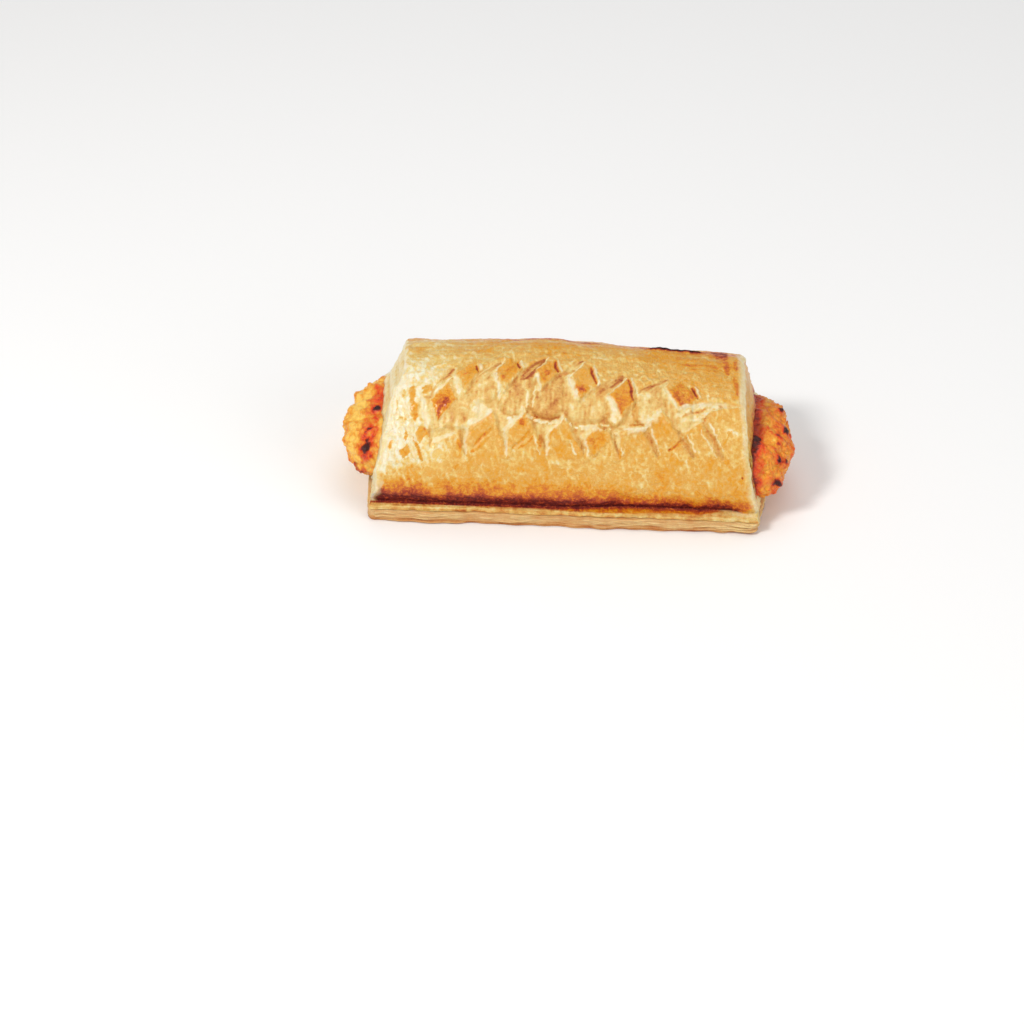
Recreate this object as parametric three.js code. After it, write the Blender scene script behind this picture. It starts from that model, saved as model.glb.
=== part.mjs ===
import * as THREE from 'three';
import { mergeVertices } from 'three/addons/utils/BufferGeometryUtils.js';

// A baked sausage roll in puff pastry: a flat lower sheet, an arched lattice-scored sheet
// pressed on to it along both long sides, and a meat log that runs right through.
// Millimetres. X runs along the roll, -Y is its front, +Z is up.

// Lower sheet, longer at the back than at the front
const BASE_LENGTH = 142;
const BASE_WIDTH = 72;
const BASE_THICKNESS = 4.2;
const BASE_TAPER = 0.08;
const BASE_STEPS = [30, 4, 4];
const BASE_WAVE = 0.7;
const LAYER_RIDGE = 0.22;
const CORNER_CUT = 2;
const CORNER_POWER = 8;

// Arched sheet: a superellipse arch over a pressed strip at each side
const GAP = 0.3;
const STRIP_UNDERSIDE = BASE_THICKNESS + GAP;
const STRIP_TOP = 6.4;
const STRIP_EDGE_TOP = 6;
const STRIP_REACH = BASE_WIDTH / 2 - 0.6;
const STRIP_WAVE = 0.5;
const ARCH_TOP = 44.5;
const ARCH_RISE = ARCH_TOP - STRIP_TOP;
const ARCH_HALF_WIDTH = 33.5;
const ARCH_POWER = 2.4;
const ARCH_TABLE = 400;
const COVER_LENGTH_STEPS = 58;
const COVER_DEPTH_STEPS = 2;
const DOUGH_WAVE = 0.5;

// Crown line: a rise left of the middle, falling towards both ends
const CROWN_RISE = 2.2;
const CROWN_AT = -12;
const CROWN_SPAN = 26;
const CROWN_LEAN = 0.8;
const CROWN_FALL = 1.8;
const CROWN_END = 60;
const FOOT_BULGE = 1.6;

// Sloping cut ends of the arched sheet
const END_INSET = 2.5;
const END_SLOPE = 8;
const END_SLOPE_POWER = 1.7;
const END_BOW = 0.1;
const END_RAGGED = 0.6;

// Meat log and the way through the arched sheet that it fills
const LOG_HALF_WIDTH = 25;
const LOG_HALF_HEIGHT = 11.8;
const LOG_Y = -3.5;
const LOG_Z = STRIP_UNDERSIDE + LOG_HALF_HEIGHT;
const LOG_POWER = 2.5;
const LOG_STRAIGHT = 62;
const LOG_REACH_LEFT = 79.3;
const LOG_REACH_RIGHT = 79.6;
const LOG_BEND = -0.03;
const LOG_LUMP = 1.3;
const LOG_SEGMENTS = [40, 28];
const LOG_MIDDLE_PART = 0.15;
const WAY_CLEARANCE = 0.8;
const WAY_FOOT = -0.3 * Math.PI;
const MOUTH_FLARE = 1.1;
const MOUTH_DEPTH = 9;

// Lattice of the arched sheet. Places are along X and along the arc from the crown line,
// negative towards the front.
const BAND_ALONG = [-58, -48, 50, 60];
const BAND_ACROSS = [-39, -33, -7, -1];
const RECESS = 1.5;
const ISLAND_LIFT = 0.7;
const PILLOW_LIFT = 1.7;
const SCORE_DEPTH = 1.5;
const TEAR_DEPTH = 1.6;
const TEAR_WIDTH = 1.6;
const LIP_LIFT = 0.9;
const LIP_OFFSET = 3;
// Diamonds of browned crust: [x, arc, half width, half height, lean]
const ISLANDS = [
  [-42.8, -19.5, 3.9, 6.8, 0.2],
  [-34.7, -10.0, 4.3, 5.8, 0.1],
  [-20.6, -8.2, 4.8, 7.5, 0.05],
  [-7.2, -8.8, 4.1, 6.6, 0.13],
  [5.5, -10.2, 4.6, 8.6, 0.13],
  [19.2, -16.8, 4.7, 7.9, 0.1],
  [28.0, -8.0, 5.5, 6.0, -0.3],
  [39.2, -13.5, 5.6, 6.5, -0.1],
  [-53.5, -31.5, 4.0, 4.5, 0.0],
  [-48.0, -33.0, 3.5, 5.5, 0.1],
  [-37.5, -35.0, 4.5, 5.0, 0.2],
  [-29.0, -30.5, 5.0, 6.5, 0.3],
  [-15.7, -30.5, 4.2, 6.0, 0.25],
  [-2.3, -32.5, 3.8, 7.0, 0.2],
  [10.8, -32.8, 4.0, 5.5, 0.2],
  [23.0, -33.5, 4.2, 5.0, 0.3],
  [32.5, -27.5, 5.2, 7.0, 0.1],
  [43.0, -28.0, 4.0, 5.0, 0.0],
];
// Rounded tongues of inner layers between the diamonds: [x, arc, half width, half height]
const PILLOWS = [
  [-37.0, -25.0, 4.5, 4.5],
  [-29.5, -16.0, 3.5, 6.0],
  [-17.5, -20.0, 6.0, 6.0],
  [-6.3, -20.5, 5.6, 5.8],
  [6.5, -22.5, 7.2, 4.8],
  [16.0, -24.0, 3.5, 3.5],
  [28.5, -19.5, 5.0, 6.0],
];
// Scores that opened in the oven: [x, arc, x, arc, half width]
const SCORES = [
  [-50, -18, -39, -6.5, 1.6],
  [-31, -13.5, -24, -3.5, 1.6],
  [-15.5, -12, -8, -1.5, 1.8],
  [-2, -8.5, 5.5, -1, 1.8],
  [10, -15.5, 20, -6, 1.8],
  [24.5, -14.5, 35, -6, 1.6],
  [-36, -28, -34, -40, 1.4],
  [-25, -25, -20, -37, 1.6],
  [-10, -30, -6, -38, 1.8],
  [1.5, -28, 6.5, -38, 1.8],
  [14.5, -27, 18.5, -37.5, 1.6],
  [27, -27, 31.5, -36, 1.4],
  [36.5, -25, 44, -35.5, 1.5],
  [47, -23.5, 54, -36, 1.5],
  [34, -21.5, 55, -16.4, 1.5],
];
// Line where the lower edge of the tongues tore free: [x, arc]
const TEAR = [
  [-26, -24], [-21.5, -26], [-13.5, -24.6], [-8, -26.8], [-3, -26], [-0.5, -24.8], [2, -27],
  [8, -27.6], [15, -27.3], [18, -28.5], [26.5, -26.5], [33, -21],
];

/** Smooth step from 0 at one limit to 1 at the other, whichever is the larger. */
function ease(from, to, value) {
  const part = THREE.MathUtils.clamp((value - from) / (to - from), 0, 1);
  return part * part * (3 - 2 * part);
}

/** 1 between the two inner limits, easing to 0 at the outer ones. */
function band(limits, value) {
  return ease(limits[0], limits[1], value) * ease(limits[3], limits[2], value);
}

/** Bell of height 1 and a given half width. */
function bell(away, halfWidth) {
  return Math.exp(-((away / halfWidth) ** 2));
}

/** Gentle unevenness of baked dough, about -1 to 1, from a few crossed waves. */
function dough(a, b, c) {
  const slow = Math.sin(0.11 * a + 1.3 * Math.sin(0.07 * b + c));
  const cross = Math.sin(0.19 * b - 0.05 * a + 2.1 * c);
  const quick = Math.sin(0.31 * a + 0.23 * b + 0.7 * c);
  return (slow + cross + 0.7 * quick) / 2.7;
}

/** A power that keeps the sign of its base. */
function signedPower(base, power) {
  return Math.sign(base) * Math.abs(base) ** power;
}

/** Distance from a place to a straight stretch between two places. */
function stretchDistance(x, arc, x0, arc0, x1, arc1) {
  const start = new THREE.Vector2(x0, arc0);
  const span = new THREE.Vector2(x1, arc1).sub(start);
  const place = new THREE.Vector2(x, arc).sub(start);
  const part = THREE.MathUtils.clamp(place.dot(span) / span.lengthSq(), 0, 1);
  return place.distanceTo(span.multiplyScalar(part));
}

/** Point of the arch for t from -1 at the front seam to 1 at the back one. */
function archPoint(t) {
  const angle = (Math.PI / 2) * (1 - Math.abs(t));
  const y = Math.sign(t) * ARCH_HALF_WIDTH * Math.cos(angle) ** (2 / ARCH_POWER);
  return new THREE.Vector2(y, STRIP_TOP + ARCH_RISE * Math.sin(angle) ** (2 / ARCH_POWER));
}

// Lengths along the arch from the front seam, at even steps of t
const archLengths = [0];
for (let i = 1; i <= 2 * ARCH_TABLE; i += 1) {
  const step = archPoint(i / ARCH_TABLE - 1).distanceTo(archPoint((i - 1) / ARCH_TABLE - 1));
  archLengths.push(archLengths[i - 1] + step);
}
const archHalfLength = archLengths[ARCH_TABLE];

// Steps around the arched sheet: [step, arc], closest together over the lattice.
// The first and last step cross the pressed strips.
const AROUND = [
  [0, -archHalfLength - STRIP_REACH + ARCH_HALF_WIDTH],
  [1, -archHalfLength],
  [6, BAND_ACROSS[0]],
  [22, 0],
  [35, archHalfLength],
  [36, archHalfLength + STRIP_REACH - ARCH_HALF_WIDTH],
];
const AROUND_STEPS = AROUND[AROUND.length - 1][0];
// Arc beyond which the inside of the sheet is its flat underside
const FOOT_ARC = archHalfLength - 8;

/** Point of the arch at a length from the front seam. */
function archAt(length) {
  const found = archLengths.findIndex((value) => value >= length);
  const i = THREE.MathUtils.clamp(found < 0 ? 2 * ARCH_TABLE : found, 1, 2 * ARCH_TABLE);
  const part = (length - archLengths[i - 1]) / (archLengths[i] - archLengths[i - 1]);
  return archPoint((i - 1 + THREE.MathUtils.clamp(part, 0, 1)) / ARCH_TABLE - 1);
}

/** Share of the arch's half width and of its rise that a place of the section has. */
function archShares(y, z) {
  return [Math.abs(y) / ARCH_HALF_WIDTH, Math.max(z - STRIP_TOP, 0) / ARCH_RISE];
}

/** Value at a place between the entries of a list of [place, value] pairs. */
function along(pairs, place) {
  const found = pairs.findIndex(([start]) => start >= place);
  const i = Math.max(found, 1);
  const [from, low] = pairs[i - 1];
  const [to, high] = pairs[i];
  return THREE.MathUtils.lerp(low, high, (place - from) / (to - from));
}

/** Outward direction of the arch at one of its points. */
function archNormal(y, z) {
  const [across, rise] = archShares(y, z);
  const outY = (Math.sign(y) * across ** (ARCH_POWER - 1)) / ARCH_HALF_WIDTH;
  return new THREE.Vector2(outY, rise ** (ARCH_POWER - 1) / ARCH_RISE).normalize();
}

/** Height of the lattice relief over the smooth arch. */
function relief(x, arc) {
  let height = -RECESS * band(BAND_ALONG, x) * band(BAND_ACROSS, arc);
  for (const [px, pa, halfWidth, halfHeight] of PILLOWS) {
    const away = Math.hypot((x - px) / halfWidth, (arc - pa) / halfHeight);
    height += PILLOW_LIFT * ease(1.15, 0.45, away);
  }
  for (const [x0, arc0, x1, arc1, halfWidth] of SCORES) {
    const away = stretchDistance(x, arc, x0, arc0, x1, arc1);
    height -= SCORE_DEPTH * bell(away, halfWidth);
  }
  for (const [px, pa, halfWidth, halfHeight, lean] of ISLANDS) {
    const side = Math.abs(x - px - lean * (arc - pa)) / halfWidth;
    const within = ease(1.25, 0.8, side + Math.abs(arc - pa) / halfHeight);
    height = THREE.MathUtils.lerp(height, ISLAND_LIFT, within);
  }
  for (let i = 1; i < TEAR.length; i += 1) {
    const [x0, arc0] = TEAR[i - 1];
    const [x1, arc1] = TEAR[i];
    if (x >= x0 && x < x1) {
      const above = arc - THREE.MathUtils.lerp(arc0, arc1, (x - x0) / (x1 - x0));
      height -= TEAR_DEPTH * bell(above, TEAR_WIDTH);
      height += LIP_LIFT * bell(above + LIP_OFFSET, TEAR_WIDTH);
    }
  }
  return height;
}

/** Rise of the crown line over the plain arch. */
function crown(x) {
  const part = x / CROWN_END;
  return CROWN_RISE * bell(x - CROWN_AT, CROWN_SPAN) - CROWN_LEAN * part - CROWN_FALL * part ** 2;
}

/** How far the arched sheet reaches along X at a place of its section. */
function endReach(y, z, side) {
  const rise = archShares(y, z)[1];
  const backLean = THREE.MathUtils.lerp(BASE_TAPER, -END_BOW, ease(0.1, 0.5, rise));
  const skew = (y < 0 ? BASE_TAPER : backLean) * y;
  const ragged = END_RAGGED * dough(3 * y, 3 * z, side);
  return BASE_LENGTH / 2 - END_INSET + skew - END_SLOPE * rise ** END_SLOPE_POWER + ragged;
}

/** Section of the meat log, grown by an offset, at a turn from +Y towards +Z. */
function logPoint(turn, offset) {
  const y = (LOG_HALF_WIDTH + offset) * signedPower(Math.cos(turn), 2 / LOG_POWER);
  const z = (LOG_HALF_HEIGHT + offset) * signedPower(Math.sin(turn), 2 / LOG_POWER);
  return new THREE.Vector2(LOG_Y + y, LOG_Z + z);
}

/** Outside of the arched sheet at an arc: the arch, or a pressed strip beyond it. */
function coverOutside(arc) {
  const beyond = Math.abs(arc) - archHalfLength;
  if (beyond <= 0) {
    return archAt(arc + archHalfLength);
  }
  const part = beyond / (STRIP_REACH - ARCH_HALF_WIDTH);
  const z = THREE.MathUtils.lerp(STRIP_TOP, STRIP_EDGE_TOP, part);
  return new THREE.Vector2(Math.sign(arc) * (ARCH_HALF_WIDTH + beyond), z);
}

/** Inside of the arched sheet at an arc: the way round the log, or the flat underside. */
function coverInside(arc) {
  const turn = Math.PI / 2 - (arc / FOOT_ARC) * (Math.PI / 2 - WAY_FOOT);
  if (Math.abs(arc) <= FOOT_ARC) {
    return logPoint(turn, WAY_CLEARANCE);
  }
  const foot = logPoint(Math.PI / 2 - Math.sign(arc) * (Math.PI / 2 - WAY_FOOT), WAY_CLEARANCE);
  const edge = coverOutside(arc).x;
  const part = ease(FOOT_ARC, archHalfLength, Math.abs(arc));
  return new THREE.Vector2(THREE.MathUtils.lerp(foot.x, edge, part), STRIP_UNDERSIDE);
}

/** Moves every corner of a geometry by a function and joins the corners that meet. */
function reshape(geometry, move) {
  const position = geometry.attributes.position;
  const corner = new THREE.Vector3();
  for (let i = 0; i < position.count; i += 1) {
    corner.fromBufferAttribute(position, i);
    move(corner);
    position.setXYZ(i, corner.x, corner.y, corner.z);
  }
  geometry.deleteAttribute('normal');
  geometry.deleteAttribute('uv');
  const joined = mergeVertices(geometry, 1e-4);
  joined.computeVertexNormals();
  return joined;
}

/** Scores and crowns a place on the outside of the arch. */
function scored(x, arc, { x: y, y: z }) {
  const rise = archShares(y, z)[1];
  const normal = archNormal(y, z);
  const lift = relief(x, arc) + DOUGH_WAVE * dough(x, arc, 0.4) * ease(0.02, 0.25, rise);
  const bulge = y < 0 ? FOOT_BULGE * ease(20, -20, x) * band([0.02, 0.15, 0.3, 0.7], rise) : 0;
  return new THREE.Vector3(x, y + normal.x * lift - bulge, z + normal.y * lift + rise * crown(x));
}

/** Waves the edge of a pressed strip. */
function waved(x, { x: y, y: z }) {
  const edge = ease(ARCH_HALF_WIDTH, STRIP_REACH, Math.abs(y));
  return new THREE.Vector3(x, y + Math.sign(y) * edge * STRIP_WAVE * dough(2 * x, y, 0.9), z);
}

/** Follows the bend of the log, wider towards the mouths so that it stands clear of the rim. */
function flared(x, { x: y, y: z }) {
  const flare = MOUTH_FLARE * ease(MOUTH_DEPTH, 2, BASE_LENGTH / 2 - Math.abs(x));
  const away = new THREE.Vector2(y - LOG_Y, z - LOG_Z).normalize();
  return new THREE.Vector3(x, y + away.x * flare + LOG_BEND * x, z + Math.max(away.y, 0) * flare);
}

/** Arched sheet: a block wrapped over the log, then sloped at the ends, scored and crowned. */
function coverGeometry() {
  const block = new THREE.BoxGeometry(
    2, AROUND_STEPS, 1, COVER_LENGTH_STEPS, AROUND_STEPS, COVER_DEPTH_STEPS,
  );
  return reshape(block, (corner) => {
    const arc = along(AROUND, corner.y + AROUND_STEPS / 2);
    const outside = coverOutside(arc);
    const inside = coverInside(arc);
    const onArch = Math.abs(arc) < archHalfLength - 0.001;
    const outX = corner.x * endReach(outside.x, outside.y, Math.sign(corner.x));
    const inX = corner.x * endReach(inside.x, inside.y, Math.sign(corner.x));
    const outer = onArch ? scored(outX, arc, outside) : waved(outX, outside);
    const inner = Math.abs(arc) > FOOT_ARC ? waved(inX, inside) : flared(inX, inside);
    corner.lerpVectors(inner, outer, corner.z + 0.5);
  });
}

/** Lower sheet: a flat slab with wavy, finely layered edges and softened corners. */
function baseGeometry() {
  const slab = new THREE.BoxGeometry(BASE_LENGTH, BASE_WIDTH, BASE_THICKNESS, ...BASE_STEPS);
  return reshape(slab, (corner) => {
    const { x, y } = corner;
    const u = x / (BASE_LENGTH / 2);
    const v = y / (BASE_WIDTH / 2);
    const w = corner.z / (BASE_THICKNESS / 2);
    const layer = LAYER_RIDGE * (Math.cos(2 * Math.PI * w) - Math.abs(w));
    const endEdge = Math.abs(u) > 0.999 ? Math.sign(u) : 0;
    const sideEdge = Math.abs(v) > 0.999 ? Math.sign(v) : 0;
    corner.x += BASE_TAPER * y * u - CORNER_CUT * u * v ** CORNER_POWER;
    corner.x += endEdge * (layer + BASE_WAVE * dough(4 * y, 2, u));
    corner.y += sideEdge * (layer + BASE_WAVE * dough(2 * x, y, 1.7));
    corner.y -= 0.4 * CORNER_CUT * v * u ** CORNER_POWER;
    corner.z += BASE_THICKNESS / 2;
  });
}

/** Meat log: a straight middle with a lumpy dome of meat pushed out at each end. */
function logGeometry() {
  const ball = new THREE.SphereGeometry(1, ...LOG_SEGMENTS);
  ball.rotateZ(-Math.PI / 2);
  return reshape(ball, (corner) => {
    const along = 1 - (2 * Math.acos(THREE.MathUtils.clamp(corner.x, -1, 1))) / Math.PI;
    const side = Math.sign(along);
    const rim = logPoint(Math.atan2(corner.z, corner.y), 0);
    const outY = rim.x - LOG_Y;
    const outZ = rim.y - LOG_Z;
    if (Math.abs(along) < LOG_MIDDLE_PART) {
      const x = (along / LOG_MIDDLE_PART) * LOG_STRAIGHT;
      corner.set(x, rim.x + LOG_BEND * x, rim.y);
      return;
    }
    const turn = ((Math.abs(along) - LOG_MIDDLE_PART) / (1 - LOG_MIDDLE_PART)) * (Math.PI / 2);
    const size = Math.max(Math.cos(turn), 0) ** (2 / LOG_POWER);
    const dome = (side < 0 ? LOG_REACH_LEFT : LOG_REACH_RIGHT) - LOG_STRAIGHT;
    const reach = LOG_STRAIGHT + dome * Math.sin(turn) ** (2 / LOG_POWER);
    const outside = ease(BASE_LENGTH / 2 - 2, BASE_LENGTH / 2 + 5, reach);
    const y = LOG_Y + LOG_BEND * side * reach + outY * size;
    const z = LOG_Z + outZ * size;
    const lump = LOG_LUMP * outside * dough(2.2 * y + 2 * side * reach, 2.6 * z, side * 2.3);
    corner.x = side * (reach + lump);
    corner.y = y + (lump * outY) / LOG_HALF_WIDTH;
    corner.z = z + (0.6 * lump * outZ) / LOG_HALF_HEIGHT;
  });
}

/** One named piece in its own material. */
function piece(name, geometry, colour, roughness) {
  const material = new THREE.MeshStandardMaterial({ color: colour, roughness, metalness: 0 });
  const mesh = new THREE.Mesh(geometry, material);
  mesh.name = name;
  return mesh;
}

const roll = new THREE.Group();
roll.name = 'sausage_puff_pastry';
roll.add(piece('pastry_base', baseGeometry(), 0xdcb074, 0.7));
roll.add(piece('pastry_cover', coverGeometry(), 0xe0a040, 0.55));
roll.add(piece('sausage_filling', logGeometry(), 0xb8642c, 0.5));

export default roll;
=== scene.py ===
# %% [markdown]
# # A sausage roll in puff pastry
# The real roll is a strip of pastry folded over a log of spiced meat. A flat lower sheet carries it, an
# arched upper sheet is pressed on to that along both long sides, and the meat swells out of both ends. The
# upper sheet was scored before baking, and in the oven the scores opened into a lattice of diamonds and
# pale tongues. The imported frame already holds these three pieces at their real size. Here each gets a
# finer surface, worked out in millimetres with numpy, and a finish made of shader nodes.

import bmesh
import bpy
import numpy as np
from mathutils import Matrix


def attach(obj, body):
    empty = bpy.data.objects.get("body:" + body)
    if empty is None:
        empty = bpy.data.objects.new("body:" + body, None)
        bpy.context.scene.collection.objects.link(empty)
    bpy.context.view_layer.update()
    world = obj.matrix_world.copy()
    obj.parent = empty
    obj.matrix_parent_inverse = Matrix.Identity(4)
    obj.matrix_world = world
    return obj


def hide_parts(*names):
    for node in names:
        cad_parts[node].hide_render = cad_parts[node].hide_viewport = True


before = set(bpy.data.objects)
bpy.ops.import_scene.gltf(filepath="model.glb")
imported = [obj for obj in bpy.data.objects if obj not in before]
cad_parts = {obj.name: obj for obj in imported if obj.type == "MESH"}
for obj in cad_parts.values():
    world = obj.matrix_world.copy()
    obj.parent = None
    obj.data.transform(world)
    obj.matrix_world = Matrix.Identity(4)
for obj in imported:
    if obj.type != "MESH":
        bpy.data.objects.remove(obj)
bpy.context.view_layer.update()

# %% [markdown]
# ## Small tools for shaping
# Baked dough has hardly a straight line, so nearly every shape below is a plain formula plus some
# unevenness. Blender's own texture nodes could push vertices about, but only after the mesh exists. A
# random field worked out in numpy can shape the mesh and also say where the crust is browned, so both
# always agree.

# %% Steps, bells and random lumps
MM = 0.001
LUMP_CELLS = 32
LUMP_VALUES = np.random.default_rng(7).uniform(-1, 1, (LUMP_CELLS,) * 3)


def ease(low, high, value):
    """Smooth step: 0 at one limit, 1 at the other, a cubic between them. Either limit may be the larger."""
    part = np.clip((value - low) / (high - low), 0, 1)
    return part * part * (3 - 2 * part)


def band(limits, value):
    """1 between the two inner limits, easing to 0 at the outer ones."""
    return ease(limits[0], limits[1], value) * ease(limits[3], limits[2], value)


def bell(away, half_width):
    """Bell of height 1: e to the power of minus the squared share of the half width."""
    return np.exp(-((away / half_width) ** 2))


def blend(value, target, share):
    """Moves a value towards a target by a share of the gap between them."""
    return value + (target - value) * share


def span(label, values):
    """Prints a label with the smallest and the largest of some values."""
    print(label, "from", round(float(values.min()), 2), "to", round(float(values.max()), 2))


def lumps(a, b, c, size, seed):
    """Random field from -1 to 1: random values on a cubic grid `size` apart, blended by smooth steps."""
    corners = []
    for value, drift in ((a, 11.31), (b, 5.73), (c, 7.97)):
        place = np.asarray(value, float) / size + drift * seed
        whole = np.floor(place).astype(int)
        part = ease(0, 1, place - whole)
        corners.append(((whole % LUMP_CELLS, 1 - part), ((whole + 1) % LUMP_CELLS, part)))
    field = 0
    for i, share_a in corners[0]:
        for j, share_b in corners[1]:
            for k, share_c in corners[2]:
                field = field + share_a * share_b * share_c * LUMP_VALUES[i, j, k]
    return field


def crumble(a, b, c, size, seed, octaves=3):
    """Lumps of one size plus half as much of half that size, and so on."""
    return sum(lumps(a, b, c, size / 2**i, seed + i) / 2**i for i in range(octaves))


span("lumps table", LUMP_VALUES)

# %% [markdown]
# ## From arrays to a mesh
# A grid of points with one row per step along the piece becomes quads by joining each point to its
# neighbours. Building it vertex by vertex in Python would take minutes, so every step works on whole
# arrays. Extra numbers for each point, such as how browned it is, go along as attributes that the shaders
# can read.

# %% Grids, zips and pieces


def grid_quads(rows, columns, wrap=False):
    """Corner numbers of the quads of a rows by columns grid, row by row. wrap joins last to first."""
    number = np.arange(rows * columns).reshape(rows, columns)
    if wrap:
        number = np.concatenate([number, number[:, :1]], axis=1)
    return np.stack([number[:-1, :-1], number[1:, :-1], number[1:, 1:], number[:-1, 1:]], -1).reshape(-1, 4)


def tip_fans(rows, columns):
    """Triangles that close a wrapped grid: from its first ring to the point numbered just after the grid,
    and from its last ring to the next point."""
    ring = np.arange(columns)
    first = np.stack([np.roll(ring, -1), ring, np.full(columns, rows * columns)], -1)
    last_ring = (rows - 1) * columns
    return [first, first[:, [1, 0, 2]] + np.array([last_ring, last_ring, 1])]


def grid_border(rows, columns):
    """Corner numbers around the edge of a grid, and how far round each lies, 0 to 4 with one unit a side."""
    corner = np.arange(rows * columns).reshape(rows, columns)
    sides = [corner[0, :-1], corner[:-1, -1], corner[-1, :0:-1], corner[:0:-1, 0]]
    way = [number + np.arange(len(side)) / len(side) for number, side in enumerate(sides)]
    return np.concatenate(sides), np.concatenate(way)


def zip_loops(first, first_way, second, second_way):
    """Triangles between two closed loops of corners. Each side of a loop goes to the corner of the other
    loop that lies level with it, so the loops may have different numbers of corners."""
    ends = np.append(first_way[1:], 4)
    middle = (first_way + ends) / 2
    level = np.searchsorted(second_way, middle, "right") - 1
    fan = np.stack([first, np.roll(first, -1), second[level]], -1)
    turn = np.searchsorted(middle, np.append(second_way[1:], 4), "left") % len(first)
    back = np.stack([np.roll(second, -1), second, first[turn]], -1)
    return np.concatenate([fan, back])


def make_piece(name, points, face_sets, values):
    """Mesh object from points in mm, sets of faces and named numbers for each point, faces turned out."""
    mesh = bpy.data.meshes.new(name)
    mesh.from_pydata(points * MM, [], [face for faces in face_sets for face in faces.tolist()])
    for key, value in values.items():
        layer = mesh.attributes.new(key, "FLOAT", "POINT")
        layer.data.foreach_set("value", np.ascontiguousarray(value, np.float32).ravel())
    work = bmesh.new()
    work.from_mesh(mesh)
    bmesh.ops.recalc_face_normals(work, faces=work.faces)
    work.to_mesh(mesh)
    work.free()
    mesh.shade_smooth()
    piece = bpy.data.objects.new(name, mesh)
    bpy.context.collection.objects.link(piece)
    triangles = sum(len(faces) * (faces.shape[1] - 2) for faces in face_sets)
    print(name, len(points), "points", triangles, "triangles")
    return piece


# %% [markdown]
# ## The arch and its crown
# Seen from an end, the upper sheet is a flattened arch: a superellipse, which is a circle whose sides are
# pushed out. A Bezier curve would do as well, but the superellipse gives its outward direction by formula.
# Places on the sheet are named by x along the roll and by the arc, the length over the arch from the crown
# line, negative towards the front. The lattice can then be drawn as if the sheet lay flat.

# %% Sizes of the sheets
BASE_LENGTH = 142
BASE_WIDTH = 72
BASE_THICKNESS = 4.2
BASE_TAPER = 0.08
STRIP_UNDERSIDE = 4.5
STRIP_EDGE_TOP = 6.0
STRIP_TOP = 6.4
STRIP_REACH = 35.4
ARCH_RISE = 38.1
ARCH_HALF_WIDTH = 33.5
ARCH_POWER = 2.4
END_INSET = 2.5
END_SLOPE = 8

# %% Arch section


def arch_table(count=2001):
    """Superellipse arch from seam to seam: y is the half width times cosine, z the rise times sine, each
    to the power of two over the arch's own power. Gives y, z and the arc from the crown."""
    way = np.linspace(-1, 1, count)
    angle = np.pi / 2 * (1 - np.abs(way))
    y = np.sign(way) * ARCH_HALF_WIDTH * np.abs(np.cos(angle)) ** (2 / ARCH_POWER)
    z = STRIP_TOP + ARCH_RISE * np.sin(angle) ** (2 / ARCH_POWER)
    length = np.append(0, np.cumsum(np.hypot(np.diff(y), np.diff(z))))
    return y, z, length - length[-1] / 2


arch_y, arch_z, arch_arc = arch_table()
HALF_ARC = arch_arc[-1]


def crown(x):
    """Rise of the crown line: a swell left of the middle, less a lean and a fall towards both ends."""
    part = x / 60
    return 2.2 * bell(x + 12, 26) - 0.8 * part - 1.8 * part**2


def dough(a, b, c):
    """Slow unevenness of dough, about -1 to 1, from three crossed waves."""
    slow = np.sin(0.11 * a + 1.3 * np.sin(0.07 * b + c))
    cross = np.sin(0.19 * b - 0.05 * a + 2.1 * c)
    return (slow + cross + 0.7 * np.sin(0.31 * a + 0.23 * b + 0.7 * c)) / 2.7


def end_reach(y, z, side):
    """How far the sheet reaches along x at an end, side -1 or 1: the base's tapered length, cut back by a
    slope that grows with the rise, less the places where dough is folded or tucked in, with a slow waver
    and the small steps of torn layers."""
    rise = np.clip((z - STRIP_TOP) / ARCH_RISE, 0, None)
    at_right = side > 0
    back_taper = blend(BASE_TAPER, -0.06 if at_right else 0.04, ease(0.05, 0.4, rise))
    skew = np.where(y < 0, BASE_TAPER, back_taper) * y
    waver = 0.6 * dough(3 * y, 3 * z, side) + 0.3 * lumps(y, z, side, 1.7, 21)
    waver = (0.6 if at_right else 1) * waver + np.where(y < 0, 1.4, -1.5) * ease(0.2, 0, rise)
    if at_right:
        tuck = ease(4, -5, y) * (1.2 * bell(rise - 0.42, 0.25) - 0.8 * ease(0.1, 0.4, rise))
        tuck = tuck + 3 * band((0.05, 0.3, 0.5, 0.85), rise) * ease(14, 30, y)
    else:
        tuck = 3.2 * ease(0.84, 1, rise) * ease(-19, -3, y)
        tuck = tuck + 5.2 * ease(0.15, 0.5, rise) * ease(8, 26, y)
    return BASE_LENGTH / 2 - END_INSET + skew - END_SLOPE * rise**1.7 - tuck + waver


print("half arc", round(float(HALF_ARC), 2), "crown rise", np.round(crown(np.array([-60, -12, 60])), 2))

# %% [markdown]
# ## The upper sheet
# One grid covers the outside: rows along the roll, and columns from the underside of one pressed strip,
# over its edge, up the wall and over the crown to the other. Further rows turn in over both cut ends down
# to the way that the meat fills. The columns are a third of a millimetre apart over the lattice and wider
# at the back. A coarse second grid lines the way through, and a zip of triangles closes the two into one
# shell.

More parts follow.
